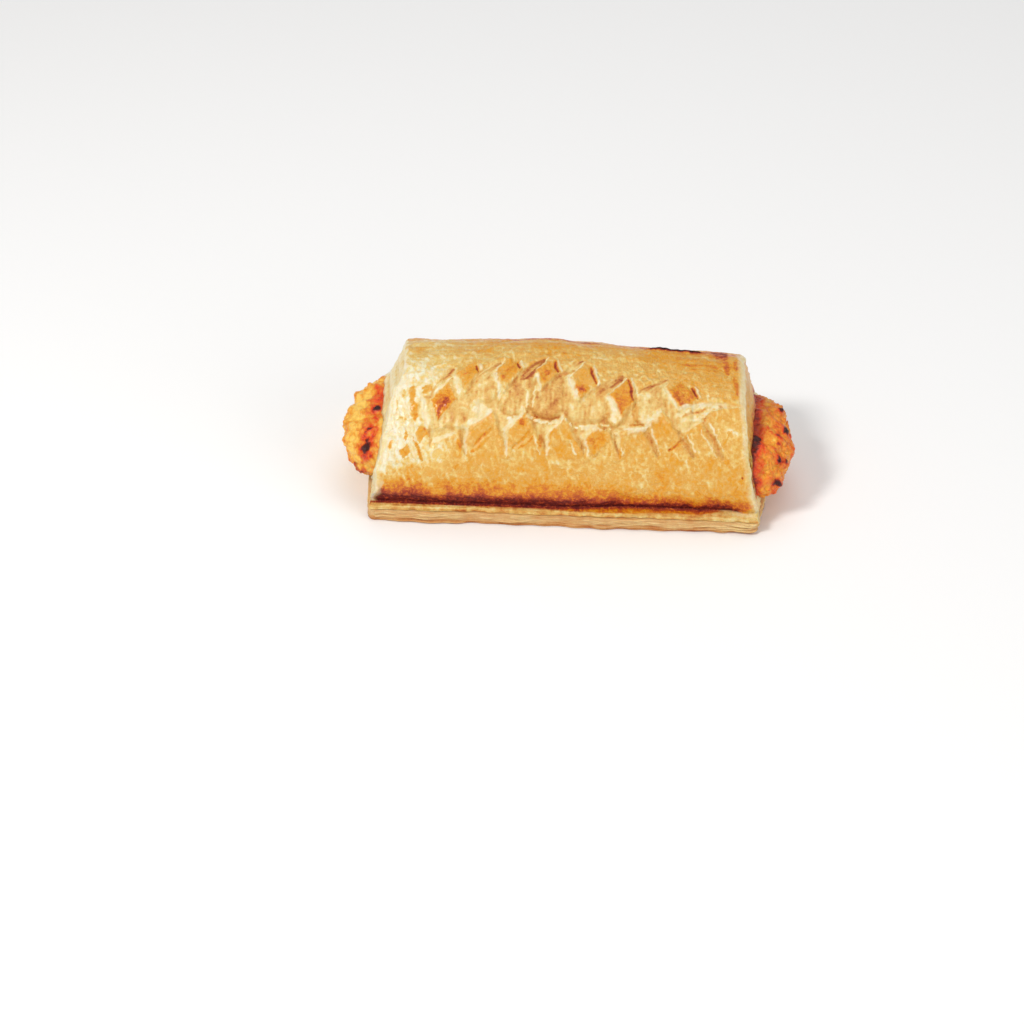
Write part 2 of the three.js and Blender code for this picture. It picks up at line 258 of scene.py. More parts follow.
# %% Columns round the section
STRIP = STRIP_REACH - ARCH_HALF_WIDTH
STRIP_END = STRIP + (STRIP_EDGE_TOP - STRIP_UNDERSIDE)
UNDER = 5.0
LATTICE_FOOT = -42
FAR_SHOULDER = 18
under_strip = np.array([STRIP_END + 1.5, STRIP_END + UNDER])
front_beyond = [under_strip[::-1], np.linspace(STRIP_END, STRIP, 9), np.linspace(STRIP, 0, 8)[1:-1]]
back_beyond = [np.linspace(0, STRIP, 6)[1:], np.linspace(STRIP, STRIP_END, 6)[1:], under_strip]
arc_column = np.concatenate([
    -HALF_ARC - np.concatenate(front_beyond),
    np.linspace(-HALF_ARC, LATTICE_FOOT, 38, endpoint=False),
    np.linspace(LATTICE_FOOT, 0, 122, endpoint=False),
    np.linspace(0, FAR_SHOULDER, 28, endpoint=False),
    np.linspace(FAR_SHOULDER, HALF_ARC, 28),
    HALF_ARC + np.concatenate(back_beyond),
])


def section_point(arc):
    """Point of the section at an arc: the arch, then the strip's top, its edge and its underside."""
    beyond = np.clip(np.abs(arc) - HALF_ARC, 0, None)
    marks = [0, STRIP, STRIP_END, STRIP_END + UNDER]
    out = ARCH_HALF_WIDTH + np.interp(beyond, marks, [0, STRIP, STRIP, STRIP - UNDER])
    z = np.interp(beyond, marks[:3], [STRIP_TOP, STRIP_EDGE_TOP, STRIP_UNDERSIDE])
    on_arch = beyond == 0
    y = np.where(on_arch, np.interp(arc, arch_arc, arch_y), np.sign(arc) * out)
    return y, np.where(on_arch, np.interp(arc, arch_arc, arch_z), z), beyond


section_y, section_z, section_beyond = section_point(arc_column)
print("columns", len(arc_column), "first and last y", section_y[[0, -1]].round(1))

# %% Way through the sheet
LOG_Y = -3.5
LOG_HALF_WIDTH = 25
LOG_HALF_HEIGHT = 11.8
LOG_Z = STRIP_UNDERSIDE + LOG_HALF_HEIGHT
LOG_POWER = 2.5
LOG_BEND = -0.03
WAY_CLEARANCE = 0.4
MOUTH_FLARE = 0.3
WAY_FOOT = -0.3 * np.pi
FOOT_ARC = HALF_ARC - 8


def signed_power(base, power):
    """A power that keeps the sign of its base."""
    return np.sign(base) * np.abs(base) ** power


def log_section(turn, grown):
    """Superellipse section of the meat, grown outwards, at a turn from +Y towards +Z."""
    y = LOG_Y + (LOG_HALF_WIDTH + grown) * signed_power(np.cos(turn), 2 / LOG_POWER)
    return y, LOG_Z + (LOG_HALF_HEIGHT + grown) * signed_power(np.sin(turn), 2 / LOG_POWER)


def way_point(arc, x):
    """Inside of the sheet opposite an arc: round the meat, then along the flat underside to the strip."""
    turn = np.pi / 2 - np.clip(arc / FOOT_ARC, -1, 1) * (np.pi / 2 - WAY_FOOT)
    y, z = log_section(turn, WAY_CLEARANCE)
    away_y, away_z = y - LOG_Y, z - LOG_Z
    far = np.hypot(away_y, away_z)
    flare = MOUTH_FLARE * ease(9, 2, BASE_LENGTH / 2 - np.abs(x))
    y = y + flare * away_y / far + LOG_BEND * x
    z = z + flare * np.clip(away_z / far, 0, None)
    past = ease(FOOT_ARC, np.abs(arc_column[0]), np.abs(arc))
    strip = np.sign(arc) * (STRIP_REACH - UNDER - 0.7)
    return blend(y, strip, past), blend(z, STRIP_UNDERSIDE, ease(0, 0.1, past))


print("way at the crown", [np.round(v, 1) for v in way_point(np.array([0.0]), np.array([0.0]))])

# %% Rows along the roll
LENGTH_ROWS = 362

row_share = np.linspace(-1, 1, LENGTH_ROWS)[:, None]
reach = np.where(row_share < 0, end_reach(section_y, section_z, -1), end_reach(section_y, section_z, 1))
x = row_share * reach
arc = np.broadcast_to(arc_column, x.shape)
rise = np.clip((section_z - STRIP_TOP) / ARCH_RISE, 0, 1)
out_y = np.sign(section_y) * (np.abs(section_y) / ARCH_HALF_WIDTH) ** (ARCH_POWER - 1) / ARCH_HALF_WIDTH
out_z = rise ** (ARCH_POWER - 1) / ARCH_RISE
out_y, out_z = out_y / np.hypot(out_y, out_z), out_z / np.hypot(out_y, out_z)
on_arch = section_beyond == 0
front = section_y < 0
to_end = reach - np.abs(x)
span("half length of the sheet", reach)

# %% [markdown]
# ## The lattice
# The scores run slantwise. Where they opened, the browned skin ends in a zigzag: diamonds hang from the
# upper half and peaks stand up from the lower one, with pale tongues of inner dough between them. One
# outline goes round that whole opening, and the distance to it gives the walls, the raised lip and the
# colour. Cutting the mesh with booleans would leave ragged triangles, so the relief is a height over the
# smooth arch instead.

# %% Outline, diamonds, peaks and tongues, in x and arc
OPENING = np.array([
    (-50.6, -19.4), (-46.8, -18.4), (-46, -14.4), (-41.2, -6.4), (-39.2, -7.0), (-38.8, -9), (-35, -17),
    (-31, -8.8), (-23.4, -2.4), (-21.8, -3.4), (-25.2, -9.8), (-21.6, -17), (-16, -8.5), (-8.6, -0.9),
    (-6.9, -2.2), (-11, -7.8), (-8.7, -15.6), (-2.8, -8.8), (4.4, -0.6), (5.8, -1.8), (0.8, -10.6),
    (4.5, -18.6), (9.4, -13.4), (18.8, -6.0), (20.2, -7.2), (14.2, -16.4), (19.2, -24.3), (22.8, -19.5),
    (22.4, -8.2), (24, -13.2), (34, -6), (35.4, -7.2), (33.6, -10.3), (38.4, -19.6), (44, -16.6),
    (50, -15.3), (56, -15.5), (60, -16.8), (55, -17.6), (50, -19.2), (48, -22), (46, -23.8), (41, -27.8),
    (39, -28.8), (36.8, -27), (34.8, -23), (33, -21), (26.5, -26.5), (21, -28.2), (18.7, -29.5),
    (18.6, -38), (14.6, -30), (11.3, -27.8), (7.4, -32), (6.6, -38.5), (2.6, -32), (-0.4, -25.2),
    (-5.2, -31), (-6.2, -38.5), (-9.8, -32.5), (-13.8, -25), (-18.8, -30), (-20, -38.5), (-23, -31),
    (-25.2, -24.6), (-33.2, -30.2), (-34.3, -40.5), (-36, -33.5), (-36.8, -31.5), (-44.5, -34.2),
    (-46.6, -36.8), (-47.5, -31.5), (-49.6, -27.8), (-51.2, -24),
])
# Diamonds of browned skin: x, arc, half width, half height, lean, extra browning
DIAMONDS = [
    (-42.5, -20.2, 4.4, 7.4, 0.2, 0.145), (-34.7, -10, 4.3, 5.8, 0.1, 0.09),
    (-20.6, -8.2, 4.8, 7.5, 0.05, 0.09), (-7.2, -8.8, 4.1, 6.6, 0.13, 0.092),
    (5.5, -10.2, 4.6, 8.6, 0.13, 0.068), (19.2, -16.8, 4.7, 7.9, 0.1, 0.115),
    (39.2, -13.5, 6.2, 6.8, -0.1, 0.17),
]
# Peaks of the lower half, each with its own browning
PEAKS = [
    (-37.5, -36, 4.5, 5, 0.2, -0.06), (-29, -30.5, 5, 6.5, 0.3, 0.045), (-15.7, -30.5, 4.2, 6, 0.25, 0.05),
    (-2.3, -32.5, 3.8, 7, 0.2, -0.04), (10.8, -32.8, 4, 5.5, 0.2, 0.06), (23, -33.5, 4.2, 5, 0.3, 0.025),
    (32.5, -27.5, 5.2, 7, 0.1, 0.04), (-49.6, -31.8, 2.4, 4.2, 0.15, 0.055),
    (-54.8, -32.6, 1.1, 3, 0, 0.05), (-54.9, -38, 2.3, 2.9, 0.3, 0.055),
]
# Tongues of inner layers: x, half width, arc of the lower edge, browning of the crease below it, darker tone
TONGUES = [
    (-44.6, 4.2, -31.6, 0, 0), (-36.6, 5.6, -31, 0.2, 0.02), (-29, 4.8, -21.5, 0.2, 0.03),
    (-17.6, 5.3, -26, 0.55, 0.12), (-6.6, 5.5, -26.6, 1, 0.15), (6.4, 7, -27.4, 0.25, 0),
    (16, 2.7, -28, 0.3, 0), (28.6, 5.4, -26.5, 0.5, 0), (38.5, 4.2, -30.5, 0, 0),
]
# Edge where the tongues tore away from the lower half
TEAR = np.array([
    (-26, -24), (-21.5, -26), (-13.5, -24.6), (-8, -26.8), (-3, -26), (-0.5, -24.8), (2, -27), (8, -27.6),
    (15, -27.3), (18, -28.5), (26.5, -26.5), (33, -21),
])
print("opening corners", len(OPENING), "diamonds", len(DIAMONDS), "tongues", len(TONGUES))

# %% Strokes: x, arc, x, arc and what each table adds
# Slanting hollows above the diamonds, each with its tone
HOLLOWS = [
    (-46.6, -14.2, -39.8, -6.8, 0.7), (-31, -13.5, -24, -3.5, 0.74), (-15.5, -12, -8, -1.5, 1.0),
    (-2, -8.5, 5.5, -1, 0.76), (10.4, -17, 19.6, -6.4, 0.86), (24.5, -14.5, 35, -6.3, 0.68),
]
# Plain slits of the lower right, narrow dark cracks beside the diamonds, each with its half width
SLITS = [
    (27, -26.5, 31.6, -36.8, 1.5), (38.6, -28, 44, -36.4, 1.6), (46.6, -22.6, 54, -36.5, 1.6),
]
CRACKS = [
    (-32.1, -5.6, -30.9, -9.2, 0.45), (-17.9, -3.9, -16.9, -8, 0.7), (-5.1, -2.6, -3.5, -9, 0.72),
    (7.5, -4.2, 9.6, -12.4, 0.72), (20.8, -8.2, 22.6, -17.6, 0.85), (42.6, -9.4, 44.6, -14.8, 0.65),
]
# Thin creases below the peaks
CREASES = [
    (42, -29, 35.5, -34.5), (-25.5, -30, -31.5, -36.5), (-12, -31, -18, -37), (-52, -33, -49, -41),
]
# Cream edges where a layer broke, each with its half width
CREAM = [
    (-50, -19, -47.6, -30, 2.1), (-45.5, -17.6, -40.4, -11, 0.7), (-39.2, -10, -37, -18, 1.0),
    (-31.8, -20.5, -26.5, -24.6, 1.9), (-32, -23, -28.6, -25.4, 2.2), (-33.4, -28.5, -26, -25, 1.5),
    (-25, -9.5, -23.2, -20.5, 0.8), (-34.3, -30, -33.9, -38.5, 0.8), (-45.5, -34.6, -38.5, -31.9, 1.1),
    (-53.4, -28, -51, -34.5, 0.7), (-53.5, -35, -50.6, -41, 0.6), (-21.4, -31, -15.2, -25.6, 1.1),
    (-20.8, -30.5, -20.1, -39, 0.9), (-16.7, -3, -15.4, -7.6, 0.5), (-11.2, -9.6, -9.4, -14.6, 0.8),
    (-5.6, -31, -1, -26.4, 0.6), (-6.4, -31.5, -5.7, -39, 0.6), (-10.4, -33, -8.6, -38.6, 0.4),
    (0.6, -11, 3.6, -17.5, 0.9), (9.3, -5, 10.6, -11, 0.5), (5, -28.6, 10, -27.8, 0.8),
    (11.6, -27, 14.6, -27.2, 0.5), (7.5, -33, 7.7, -38.5, 0.5), (1.4, -33, 4, -38.4, 0.5),
    (14.4, -17, 18.4, -24.8, 1.1), (15, -15.4, 20.4, -8, 0.45), (22.6, -9.6, 24.2, -15.4, 0.6),
    (20.6, -28, 27, -27.6, 0.8), (26.6, -27, 32.6, -20.6, 0.9), (33.7, -11.6, 37.6, -19.6, 0.8),
    (38.6, -19.2, 46, -16.6, 0.8), (37.6, -21.4, 38.4, -22, 1.4), (28.9, -27.4, 32.6, -36, 0.5),
    (41.4, -28.6, 45, -34.8, 0.5), (48.8, -23.6, 54.4, -33.6, 0.5), (45.7, -26, 52.2, -36, 0.4),
    (19.2, -35, 19.8, -37.5, 0.4), (-24.8, -8.4, -22.4, -1.6, 0.4), (-10.6, -7.8, -7.4, -1, 0.4),
    (0.8, -9.8, 5.8, -1.4, 0.45), (-11.3, -15, -11.4, -23.4, 0.5), (-13.7, -16.5, -13.5, -23.4, 0.6),
    (16, -19.5, 16.3, -26.5, 1.0), (5, -29.2, 9, -28.6, 1.0), (-53.6, -28.6, -51.2, -34.8, 0.6),
    (-56.4, -37.4, -54.6, -35.8, 0.4), (-50.8, -29.6, -49, -28.4, 0.4), (39, -18.9, 50, -15.9, 0.7),
    (45.4, -21.4, 46.6, -21, 0.9), (50, -16.8, 55, -16.4, 0.8),
]
# Browner spots and streaks, each with its half width and browning
STAINS = [
    (-42.9, -22, -44.6, -26, 0.7, 0.14), (-41, -19.6, -42.6, -21, 0.9, 0.1),
    (-49.8, -15.6, -46.6, -16.4, 1.9, 0.09), (-52.6, -20.5, -52, -27.5, 1.2, 0.065),
    (-34.6, -9.3, -34.6, -10.7, 1.2, 0.1), (-22.6, -11, -22, -13.4, 0.7, 0.12),
    (-21.6, -8.6, -20.2, -8.4, 1.3, 0.06), (-8.6, -12, -8.4, -13.2, 0.9, 0.08),
    (2.6, -15, 7.2, -14.4, 1.6, 0.11), (4.2, -16.2, 6.2, -15.3, 0.9, 0.18),
    (3.8, -17.6, 5.2, -17.2, 0.9, 0.12), (16.6, -18, 19, -23.2, 0.8, 0.06),
    (37, -13, 38.8, -17.6, 1.2, 0.05), (-15.4, -27.6, -15, -29.6, 0.8, 0.13),
    (-25.4, -33, -32, -37.8, 0.7, 0.1), (-10.6, -33, -16, -37, 0.5, 0.12),
    (-8.7, -32.6, -8.2, -36, 1.0, 0.14), (5.8, -33, 6.3, -36, 0.6, 0.16), (9.3, -32, 9.7, -33.6, 1.2, 0.05),
    (18, -35, 19.3, -38.6, 0.5, 0.16), (-48.6, -30, -46.8, -33.2, 0.6, 0.06),
    (-55.8, -37.2, -54, -38.8, 1.2, 0.04), (38.8, -30.8, 35.4, -34.8, 0.6, 0.1),
    (-36.5, -33.8, -35.4, -37.6, 0.8, 0.1), (-37.3, -42, -37, -43.6, 0.8, 0.14),
    (61, -42.6, 61, -43.6, 0.4, 0.32), (57.2, -2, 58.4, -12, 0.9, 0.14), (54, 10, 55.4, -1, 1.0, 0.08),
    (57.4, 10, 58, 2, 0.8, 0.1), (-12.4, -25.8, -9.8, -26.5, 0.5, 0.14), (-13.6, -8, -9.2, -2.6, 1.4, 0.09),
    (-54, 8, -51, 3, 2.2, 0.1), (54, -31, 57, -26, 0.35, 0.08), (40, -22.6, 43.4, -19.6, 0.5, 0.13),
    (43.2, -19.7, 48, -18, 0.55, 0.18), (47.4, -21.8, 50, -18.8, 0.5, 0.13),
    (46.6, -23.6, 47.6, -21.6, 0.4, 0.16), (51.8, -16, 53.6, -17.5, 0.4, 0.2),
    (55.6, -26, 56, -28, 0.3, 0.1), (39, -29.4, 43, -35, 0.5, 0.1), (47.6, -25, 53, -33.6, 0.5, 0.12),
    (27.4, -29, 30.6, -35.4, 0.5, 0.08), (23.4, -18.6, 24, -25.8, 1.2, 0.1),
    (21.6, -26.6, 26.6, -26.1, 0.45, 0.2), (13.7, -19, 13.8, -25, 0.7, 0.08),
    (-7.3, -8.2, -6.6, -10.8, 1.5, 0.1), (17.6, -27.8, 20.2, -28.6, 0.6, 0.14),
    (11.6, -13.6, 12.4, -19, 1.2, 0.08), (33.6, -18.8, 35.4, -18.4, 1.1, 0.1),
    (1.6, -5.4, 1.9, -7.4, 0.7, 0.14), (3, -29.4, 3.6, -31, 0.8, 0.1),
    (-41.8, -26, -41.4, -28.6, 0.6, 0.12), (-36.8, -22, -33.6, -22.6, 0.8, 0.08),
    (15.2, -36.6, 15.8, -37.2, 0.8, 0.1), (-53.6, -14.6, -53.2, -20.4, 1.2, 0.065),
    (-59.4, -34.6, -59.8, -37, 0.6, 0.06), (-61.2, -9.4, -61.4, -13.8, 0.6, 0.09),
    (-58.2, -5, -58.2, -12.8, 0.7, 0.05), (-57.4, -26, -54.6, -27, 0.5, 0.04),
    (-58.6, -19, -58.2, -24, 0.5, 0.04), (-56.2, -16, -56, -20, 0.4, 0.04),
    (-52.3, -42.4, -52.1, -43.4, 0.7, 0.12), (-48.6, -29.6, -47.3, -32.6, 0.35, 0.08),
    (-62.5, -12.2, -62.3, -13.8, 0.45, 0.36), (-63, -15.4, -62.8, -17, 0.4, 0.32),
    (-64.3, -38, -64.1, -40, 0.35, 0.32),
]
print("strokes", sum(len(table) for table in (HOLLOWS, SLITS, CRACKS, CREASES, CREAM, STAINS)))

# %% Distances on the unrolled sheet


def stretch_distance(x, arc, x0, arc0, x1, arc1):
    """Distance to a straight stretch, from the nearest point on it, and that point's share of the way."""
    way_x, way_arc = x1 - x0, arc1 - arc0
    share = np.clip(((x - x0) * way_x + (arc - arc0) * way_arc) / (way_x**2 + way_arc**2), 0, 1)
    return np.hypot(x - x0 - share * way_x, arc - arc0 - share * way_arc), share


def depth_inside(x, arc, outline):
    """Distance to the nearest side of an outline, negative outside. A place is inside when a line from it to
    the right crosses an odd number of sides."""
    nearest = np.full(x.shape, np.inf)
    inside = np.zeros(x.shape, bool)
    for (x0, arc0), (x1, arc1) in zip(outline, np.roll(outline, -1, axis=0)):
        nearest = np.minimum(nearest, stretch_distance(x, arc, x0, arc0, x1, arc1)[0])
        level = (arc0 > arc) != (arc1 > arc)
        inside ^= level & (x < x0 + (arc - arc0) * (x1 - x0) / (arc1 - arc0 + 1e-9))
    return np.where(inside, nearest, -nearest)


def lens(x, arc, stroke, half_width):
    """1 on the middle line of a stroke, falling to 0 at a width that narrows to both ends."""
    away, share = stretch_distance(x, arc, *stroke[:4])
    width = half_width * np.clip(4 * share * (1 - share), 0.02, 1) ** 0.3
    return ease(1.2, 0.3, away / width)


def drawn(x, arc, strokes, half_width=None):
    """The strongest of several strokes at each place. The half width is the fifth number of each stroke,
    unless one for all is given."""
    return np.max([lens(x, arc, stroke, half_width or stroke[4]) for stroke in strokes], axis=0)


def diamond(x, arc, shape):
    """Share of the way from the middle (0) to the edge (1) of a leaning diamond, and the height on it."""
    middle_x, middle_arc, half_width, half_height, lean = shape[:5]
    up = (arc - middle_arc) / half_height
    return np.abs(x - middle_x - lean * (arc - middle_arc)) / half_width + np.abs(up), up


print("opening at its middle", np.round(depth_inside(np.array([6.5]), np.array([-22.5]), OPENING), 2))

# %% [markdown]
# ### Opening the skin
# Scores tear in the oven and don't part cleanly. So the lattice is looked up at slightly shifted places,
# which makes every edge waver. Walls that face left catch the light: they slope gently and turn out pale,
# partly from their bared layers and partly as painted light, while those that face right are steep and
# get a little painted shade. The first diamond stands alone as an island in the opening.

# %% Where the skin opened
HOLLOW_WIDTH = 2.8
THIN_WIDTH = 0.7

torn_x = x + 0.35 * lumps(x, arc, 0, 2.4, 3) + 0.16 * lumps(x, arc, 0, 0.9, 4)
torn_arc = arc + 0.35 * lumps(x, arc, 9, 2.4, 5) + 0.16 * lumps(x, arc, 9, 0.9, 6)
depth = depth_inside(torn_x, torn_arc, OPENING)
slope = depth_inside(torn_x + 0.25, torn_arc, OPENING) - depth_inside(torn_x - 0.25, torn_arc, OPENING)
left_wall = ease(0.02, 0.35, -slope)
island = ease(1.08, 0.96, diamond(torn_x, torn_arc, DIAMONDS[0])[0])
opening = ease(-0.15, 0.3, depth) * (1 - island)
slit = drawn(torn_x, torn_arc, SLITS)
crack = drawn(torn_x, torn_arc, CRACKS) * (1 - 0.8 * opening)
lip = drawn(torn_x - 1.1, torn_arc - 0.5, CRACKS, THIN_WIDTH) * (1 - opening) * (1 - crack)
crease = drawn(torn_x, torn_arc, CREASES, THIN_WIDTH) * (1 - opening)
every_hollow = [lens(torn_x, torn_arc, stroke, HOLLOW_WIDTH) * opening for stroke in HOLLOWS]
every_share = [stretch_distance(torn_x, torn_arc, *stroke[:4])[1] for stroke in HOLLOWS]
every_tone = [stroke[4] - 0.14 + 0.2 * share for stroke, share in zip(HOLLOWS, every_share)]
hollow = np.max(every_hollow, axis=0)
hollow_tone = sum(shade * part for shade, part in zip(every_tone, every_hollow)) / (sum(every_hollow) + 1e-9)
print("opened share of the grid", round(float(opening.mean()), 3))

# %% Tongues and their layers


def tongues(x, arc):
    """Height of the tongues, 0 to 1, browning of the creases round them and darker tone. Each is flat
    across, rounded off at its two sides and along a curved lower edge, and runs up under the skin."""
    height = np.zeros_like(x)
    crease = np.zeros_like(x)
    darker = np.zeros_like(x)
    for middle, half_width, foot, browned, dark in TONGUES:
        across = np.abs(x - middle) / half_width
        above = arc - foot - 2.2 * across**3
        flat = (0.65 * ease(1.16, 1.02, across) + 0.35 * ease(1.0, 0.84, across)) * ease(0, 1.8, above)
        height = np.maximum(height, flat)
        darker = np.maximum(darker, dark * flat)
        crease = np.maximum(crease, browned * bell(above - 0.1, 0.55) * ease(1.05, 0.75, across))
        beside = bell(across - 0.98, 0.09) * band((-0.5, 1, 6, 12), above)
        crease = np.maximum(crease, 0.3 * browned * beside)
    return height, crease, darker


flat, fold, darker = tongues(torn_x, torn_arc)
upright = 0.8 * lumps(x, 0.16 * arc, 2, 0.75, 8) + 0.5 * lumps(x, 0.6 * arc, 3, 1.6, 17)
slanting = lumps(0.74 * x - 0.67 * arc, 0.1 * (x + arc), 4, 0.7, 9)
layers = blend(upright, slanting, hollow)
print("darkest tongue", round(float(darker.max()), 2))

# %% Height of the lattice
FLOOR_DEPTH = 1.45
TONGUE_LIFT = 1.25
LIP_LIFT = 0.45

wall = ease(-0.3, 1.3 + left_wall + 3 * ease(-38, -47, x), depth)
bed = (hollow - FLOOR_DEPTH) * wall
tongue = TONGUE_LIFT * flat * ease(0.3, 1.8, depth) * (1 - 0.7 * hollow)
grain = layers * (0.16 + 0.16 * hollow) + 0.2 * lumps(x, arc, 8, 1.7, 18)
raised_edge = LIP_LIFT * bell(depth + 1, 0.9) * (0.75 + 0.5 * lumps(x, arc, 3, 3, 10))
height = opening * (bed + tongue + grain * ease(0.2, 1, depth)) + (1 - opening) * raised_edge
height += 0.4 * lip - 0.85 * slit - 0.55 * crack - 0.4 * crease
span("lattice", height)

# %% Diamonds and peaks
RAISED_FROM = 0.055
BURNT_TIP_FROM = 0.12

patchy = 0.35 * lumps(x, arc, 7, 2.6, 11)
speckled = ease(-0.6, 0.3, lumps(x, arc, 1, 1.9, 12))
brown = np.zeros_like(x)
for shape in DIAMONDS + PEAKS:
    browned = shape[5]
    away, up = diamond(torn_x, torn_arc, shape)
    within = ease(1.12, 0.9, away)
    patch = ease(1, 0.3, away + patchy) * ease(1, -0.3, up)
    tip = bell(away - 0.85, 0.3) * ease(-0.25, -0.75, up) * within
    height += 0.3 * within * (1 - up) * (browned > RAISED_FROM)
    # A thin paler rim round each browned diamond and peak: bared layers at the cut, and painted highlight
    # along the edge.
    brown += within * browned * (0.85 + 0.3 * patch) - 0.07 * bell(away - 0.97, 0.1) * (browned > 0)
    brown += 0.08 * tip * speckled * (browned > BURNT_TIP_FROM)
print("brownest diamond", round(float(brown.max()), 2))

# %% Torn edge below the tongues
crumbs = lumps(x, arc, 6, 0.8, 13)
worn = lumps(x, arc, 2, 2.2, 16)
above_tear = arc - np.interp(x, TEAR[:, 0], TEAR[:, 1])
crumbly = ease(-0.35, 0.25, lumps(x, 0, 0, 6, 15)) * band((-21, -19.5, 30, 33), x)
bared = 0.8 * crumbly * bell(above_tear + 1.5, 0.8) * ease(-0.6, 0.2, crumbs)
height += crumbly * bell(above_tear + 1.5, 0.9) * (0.45 + 0.5 * crumbs) - 0.42 * fold * opening
opened = np.maximum.reduce([opening, 0.9 * slit, bared, 0.7 * lip])
print("crumbs bared on", round(float((bared > 0.3).mean()), 4), "of the grid")

# %% [markdown]
# ### Colour of the bared dough
# Inner dough runs from cream, where a layer broke last, to tan in the hollows. One number, the tone, says
# where a place lies between them. Listed strokes then add the broken cream edges and the browner
# stains that an eye would look for, because no random field puts such marks where they belong.

# %% Tone of the bared dough
CREAM_TONE = 0.12

tone = 0.51 + 0.26 * layers + 0.13 * lumps(x, arc, 5, 2.2, 19) + 0.11 * lumps(x, 0.7 * arc, 5, 0.9, 83)
tone = tone - 0.05 * flat + darker
dots = hollow * ease(0.35, 0.6, lumps(x, arc, 2, 0.9, 22))
tone = blend(tone, hollow_tone + 0.55 * layers + 0.14 * dots, 0.9 * hollow)
# Left-facing walls turn cream: bared layers, and painted light where the wall faces the lamp.
pale = 0.6 * left_wall * (1 - 0.85 * hollow) * ease(2.6, 0.9, depth + 0.5 * crumbs + 0.9 * worn)
tone = blend(tone, CREAM_TONE + 0.16 * worn + 0.1 * layers, pale)
# Painted shade: right-facing walls a little darker and warmer.
shaded_wall = (1 - left_wall) * bell(depth - 0.6, 0.7) * (1 - hollow)
tone = blend(tone, 0.9, fold) + 0.08 * shaded_wall
tone = np.where(slit > 0.2, 0.46 + 0.2 * slit + 0.14 * layers, tone)
tone = np.where((bared > 0.3) | (lip > 0.3), CREAM_TONE + 0.15 * worn, tone)
print("mean tone of the opening", round(float(tone[opening > 0.5].mean()), 2))

# %% Cream edges and brown stains
CRACK_BROWN = 0.32

fray_x = torn_x + 0.35 * crumbs
fray_arc = torn_arc + 0.4 * worn
cream = drawn(fray_x, fray_arc, CREAM) * (1 - 0.6 * crack)
height += 0.22 * cream * (1 - opened) + 0.3 * crumbs * opened * (arc < -15) * ease(37, 40, x)
split = band((36, 38.5, 57, 60), x) * band((-25, -23, -16, -14), arc)
tone = blend(tone, 0.26 + 0.3 * crumbs + 0.16 * worn, 0.85 * split)
tone = blend(tone, CREAM_TONE + 0.12 * worn + 0.14 * layers, 0.95 * cream)
opened = np.maximum(opened, 0.92 * cream)
brown = np.maximum(brown + 0.12 * crease, CRACK_BROWN * crack)
for stroke in STAINS:
    stain = stroke[5] * lens(fray_x, fray_arc, stroke, 1.25 * stroke[4])
    brown = brown + stain
    tone = tone + 1.3 * stain
    opened = opened - opened * np.clip(2.2 * stain, 0, 0.6)
    height -= 0.8 * np.maximum(stain - 0.14, 0)
print("lattice browning up to", round(float(brown.max()), 2))

# %% [markdown]
# ## The outside of the sheet
# Baked skin blisters, wrinkles and shows fine wisps where the egg wash ran thin. These are small heights
# added to those of the lattice. Bump in the finish could hint at them, but not at the outline, so they go
# into the mesh: each point of the arch moves along its outward direction by the sum.

# %% Wrinkles, wisps and burnt edge of the skin
seam_up = np.abs(np.abs(arc) - HALF_ARC)
blister = crumble(x, arc, 0, 5, 31)
wrinkle = ease(-42, -54, x) * ease(2, -8, arc) * ease(-52, -44, arc)
ridges = 0.8 - 2 * np.abs(crumble(x + 0.3 * arc, 0.5 * arc - 0.2 * x, 0, 1.25, 33, 2))
streaks = crumble(0.08 * x, arc, 3, 1.5, 35, 2) * band((-5, 3, 17, 22), arc)
wisp = ease(0.2, 0.02, np.abs(crumble(x + 0.35 * arc, 0.55 * arc - 0.2 * x, 6, 3.4, 71, 2)))
wisp = wisp * ease(-0.35, 0.4, lumps(x, arc, 8, 6, 73)) * (1 - opened) * ease(16, -4, arc)
rim_line = lumps(to_end, 0.08 * arc, 0, 0.7, 58)
burnt_edge = band((24, 30, 44, 48), x) * bell(arc - 14.8 + 0.4 * lumps(x, 0, 0, 3, 43), 0.9)
print("wisps on", round(float((wisp > 0.5).mean()), 3), "of the grid")

# %% Height of the outside
lifted = height + 0.5 * dough(x, arc, 0.4) * ease(0.02, 0.25, rise)
lifted = lifted + (1 - opened) * (0.24 * blister + 0.13 * wrinkle * ridges + 0.08 * streaks + 0.17 * wisp)
lifted = lifted + 0.1 * lumps(x, arc, 5, 0.9, 36) + 0.12 * lumps(x, arc, 7, 1.9, 40) * (1 - opened)
lifted = lifted - 0.9 * bell(seam_up, 1.0) + 0.35 * bell(seam_up - 2.2, 1.2) * lumps(x, arc, 1, 2.0, 37)
lifted = lifted + 0.32 * rim_line * ease(4.5, 1, to_end) * (x < 0)
lifted = lifted - 0.25 * ease(0.7, 0, to_end) - 0.9 * ease(2.6, 0, to_end) ** 2 * (x > 0) + 0.8 * burnt_edge
span("outside heights", lifted)

# %% Foot, strip and points of the outside
FOOT_BULGE = 1.6
FOOT_PINCH = 1.7

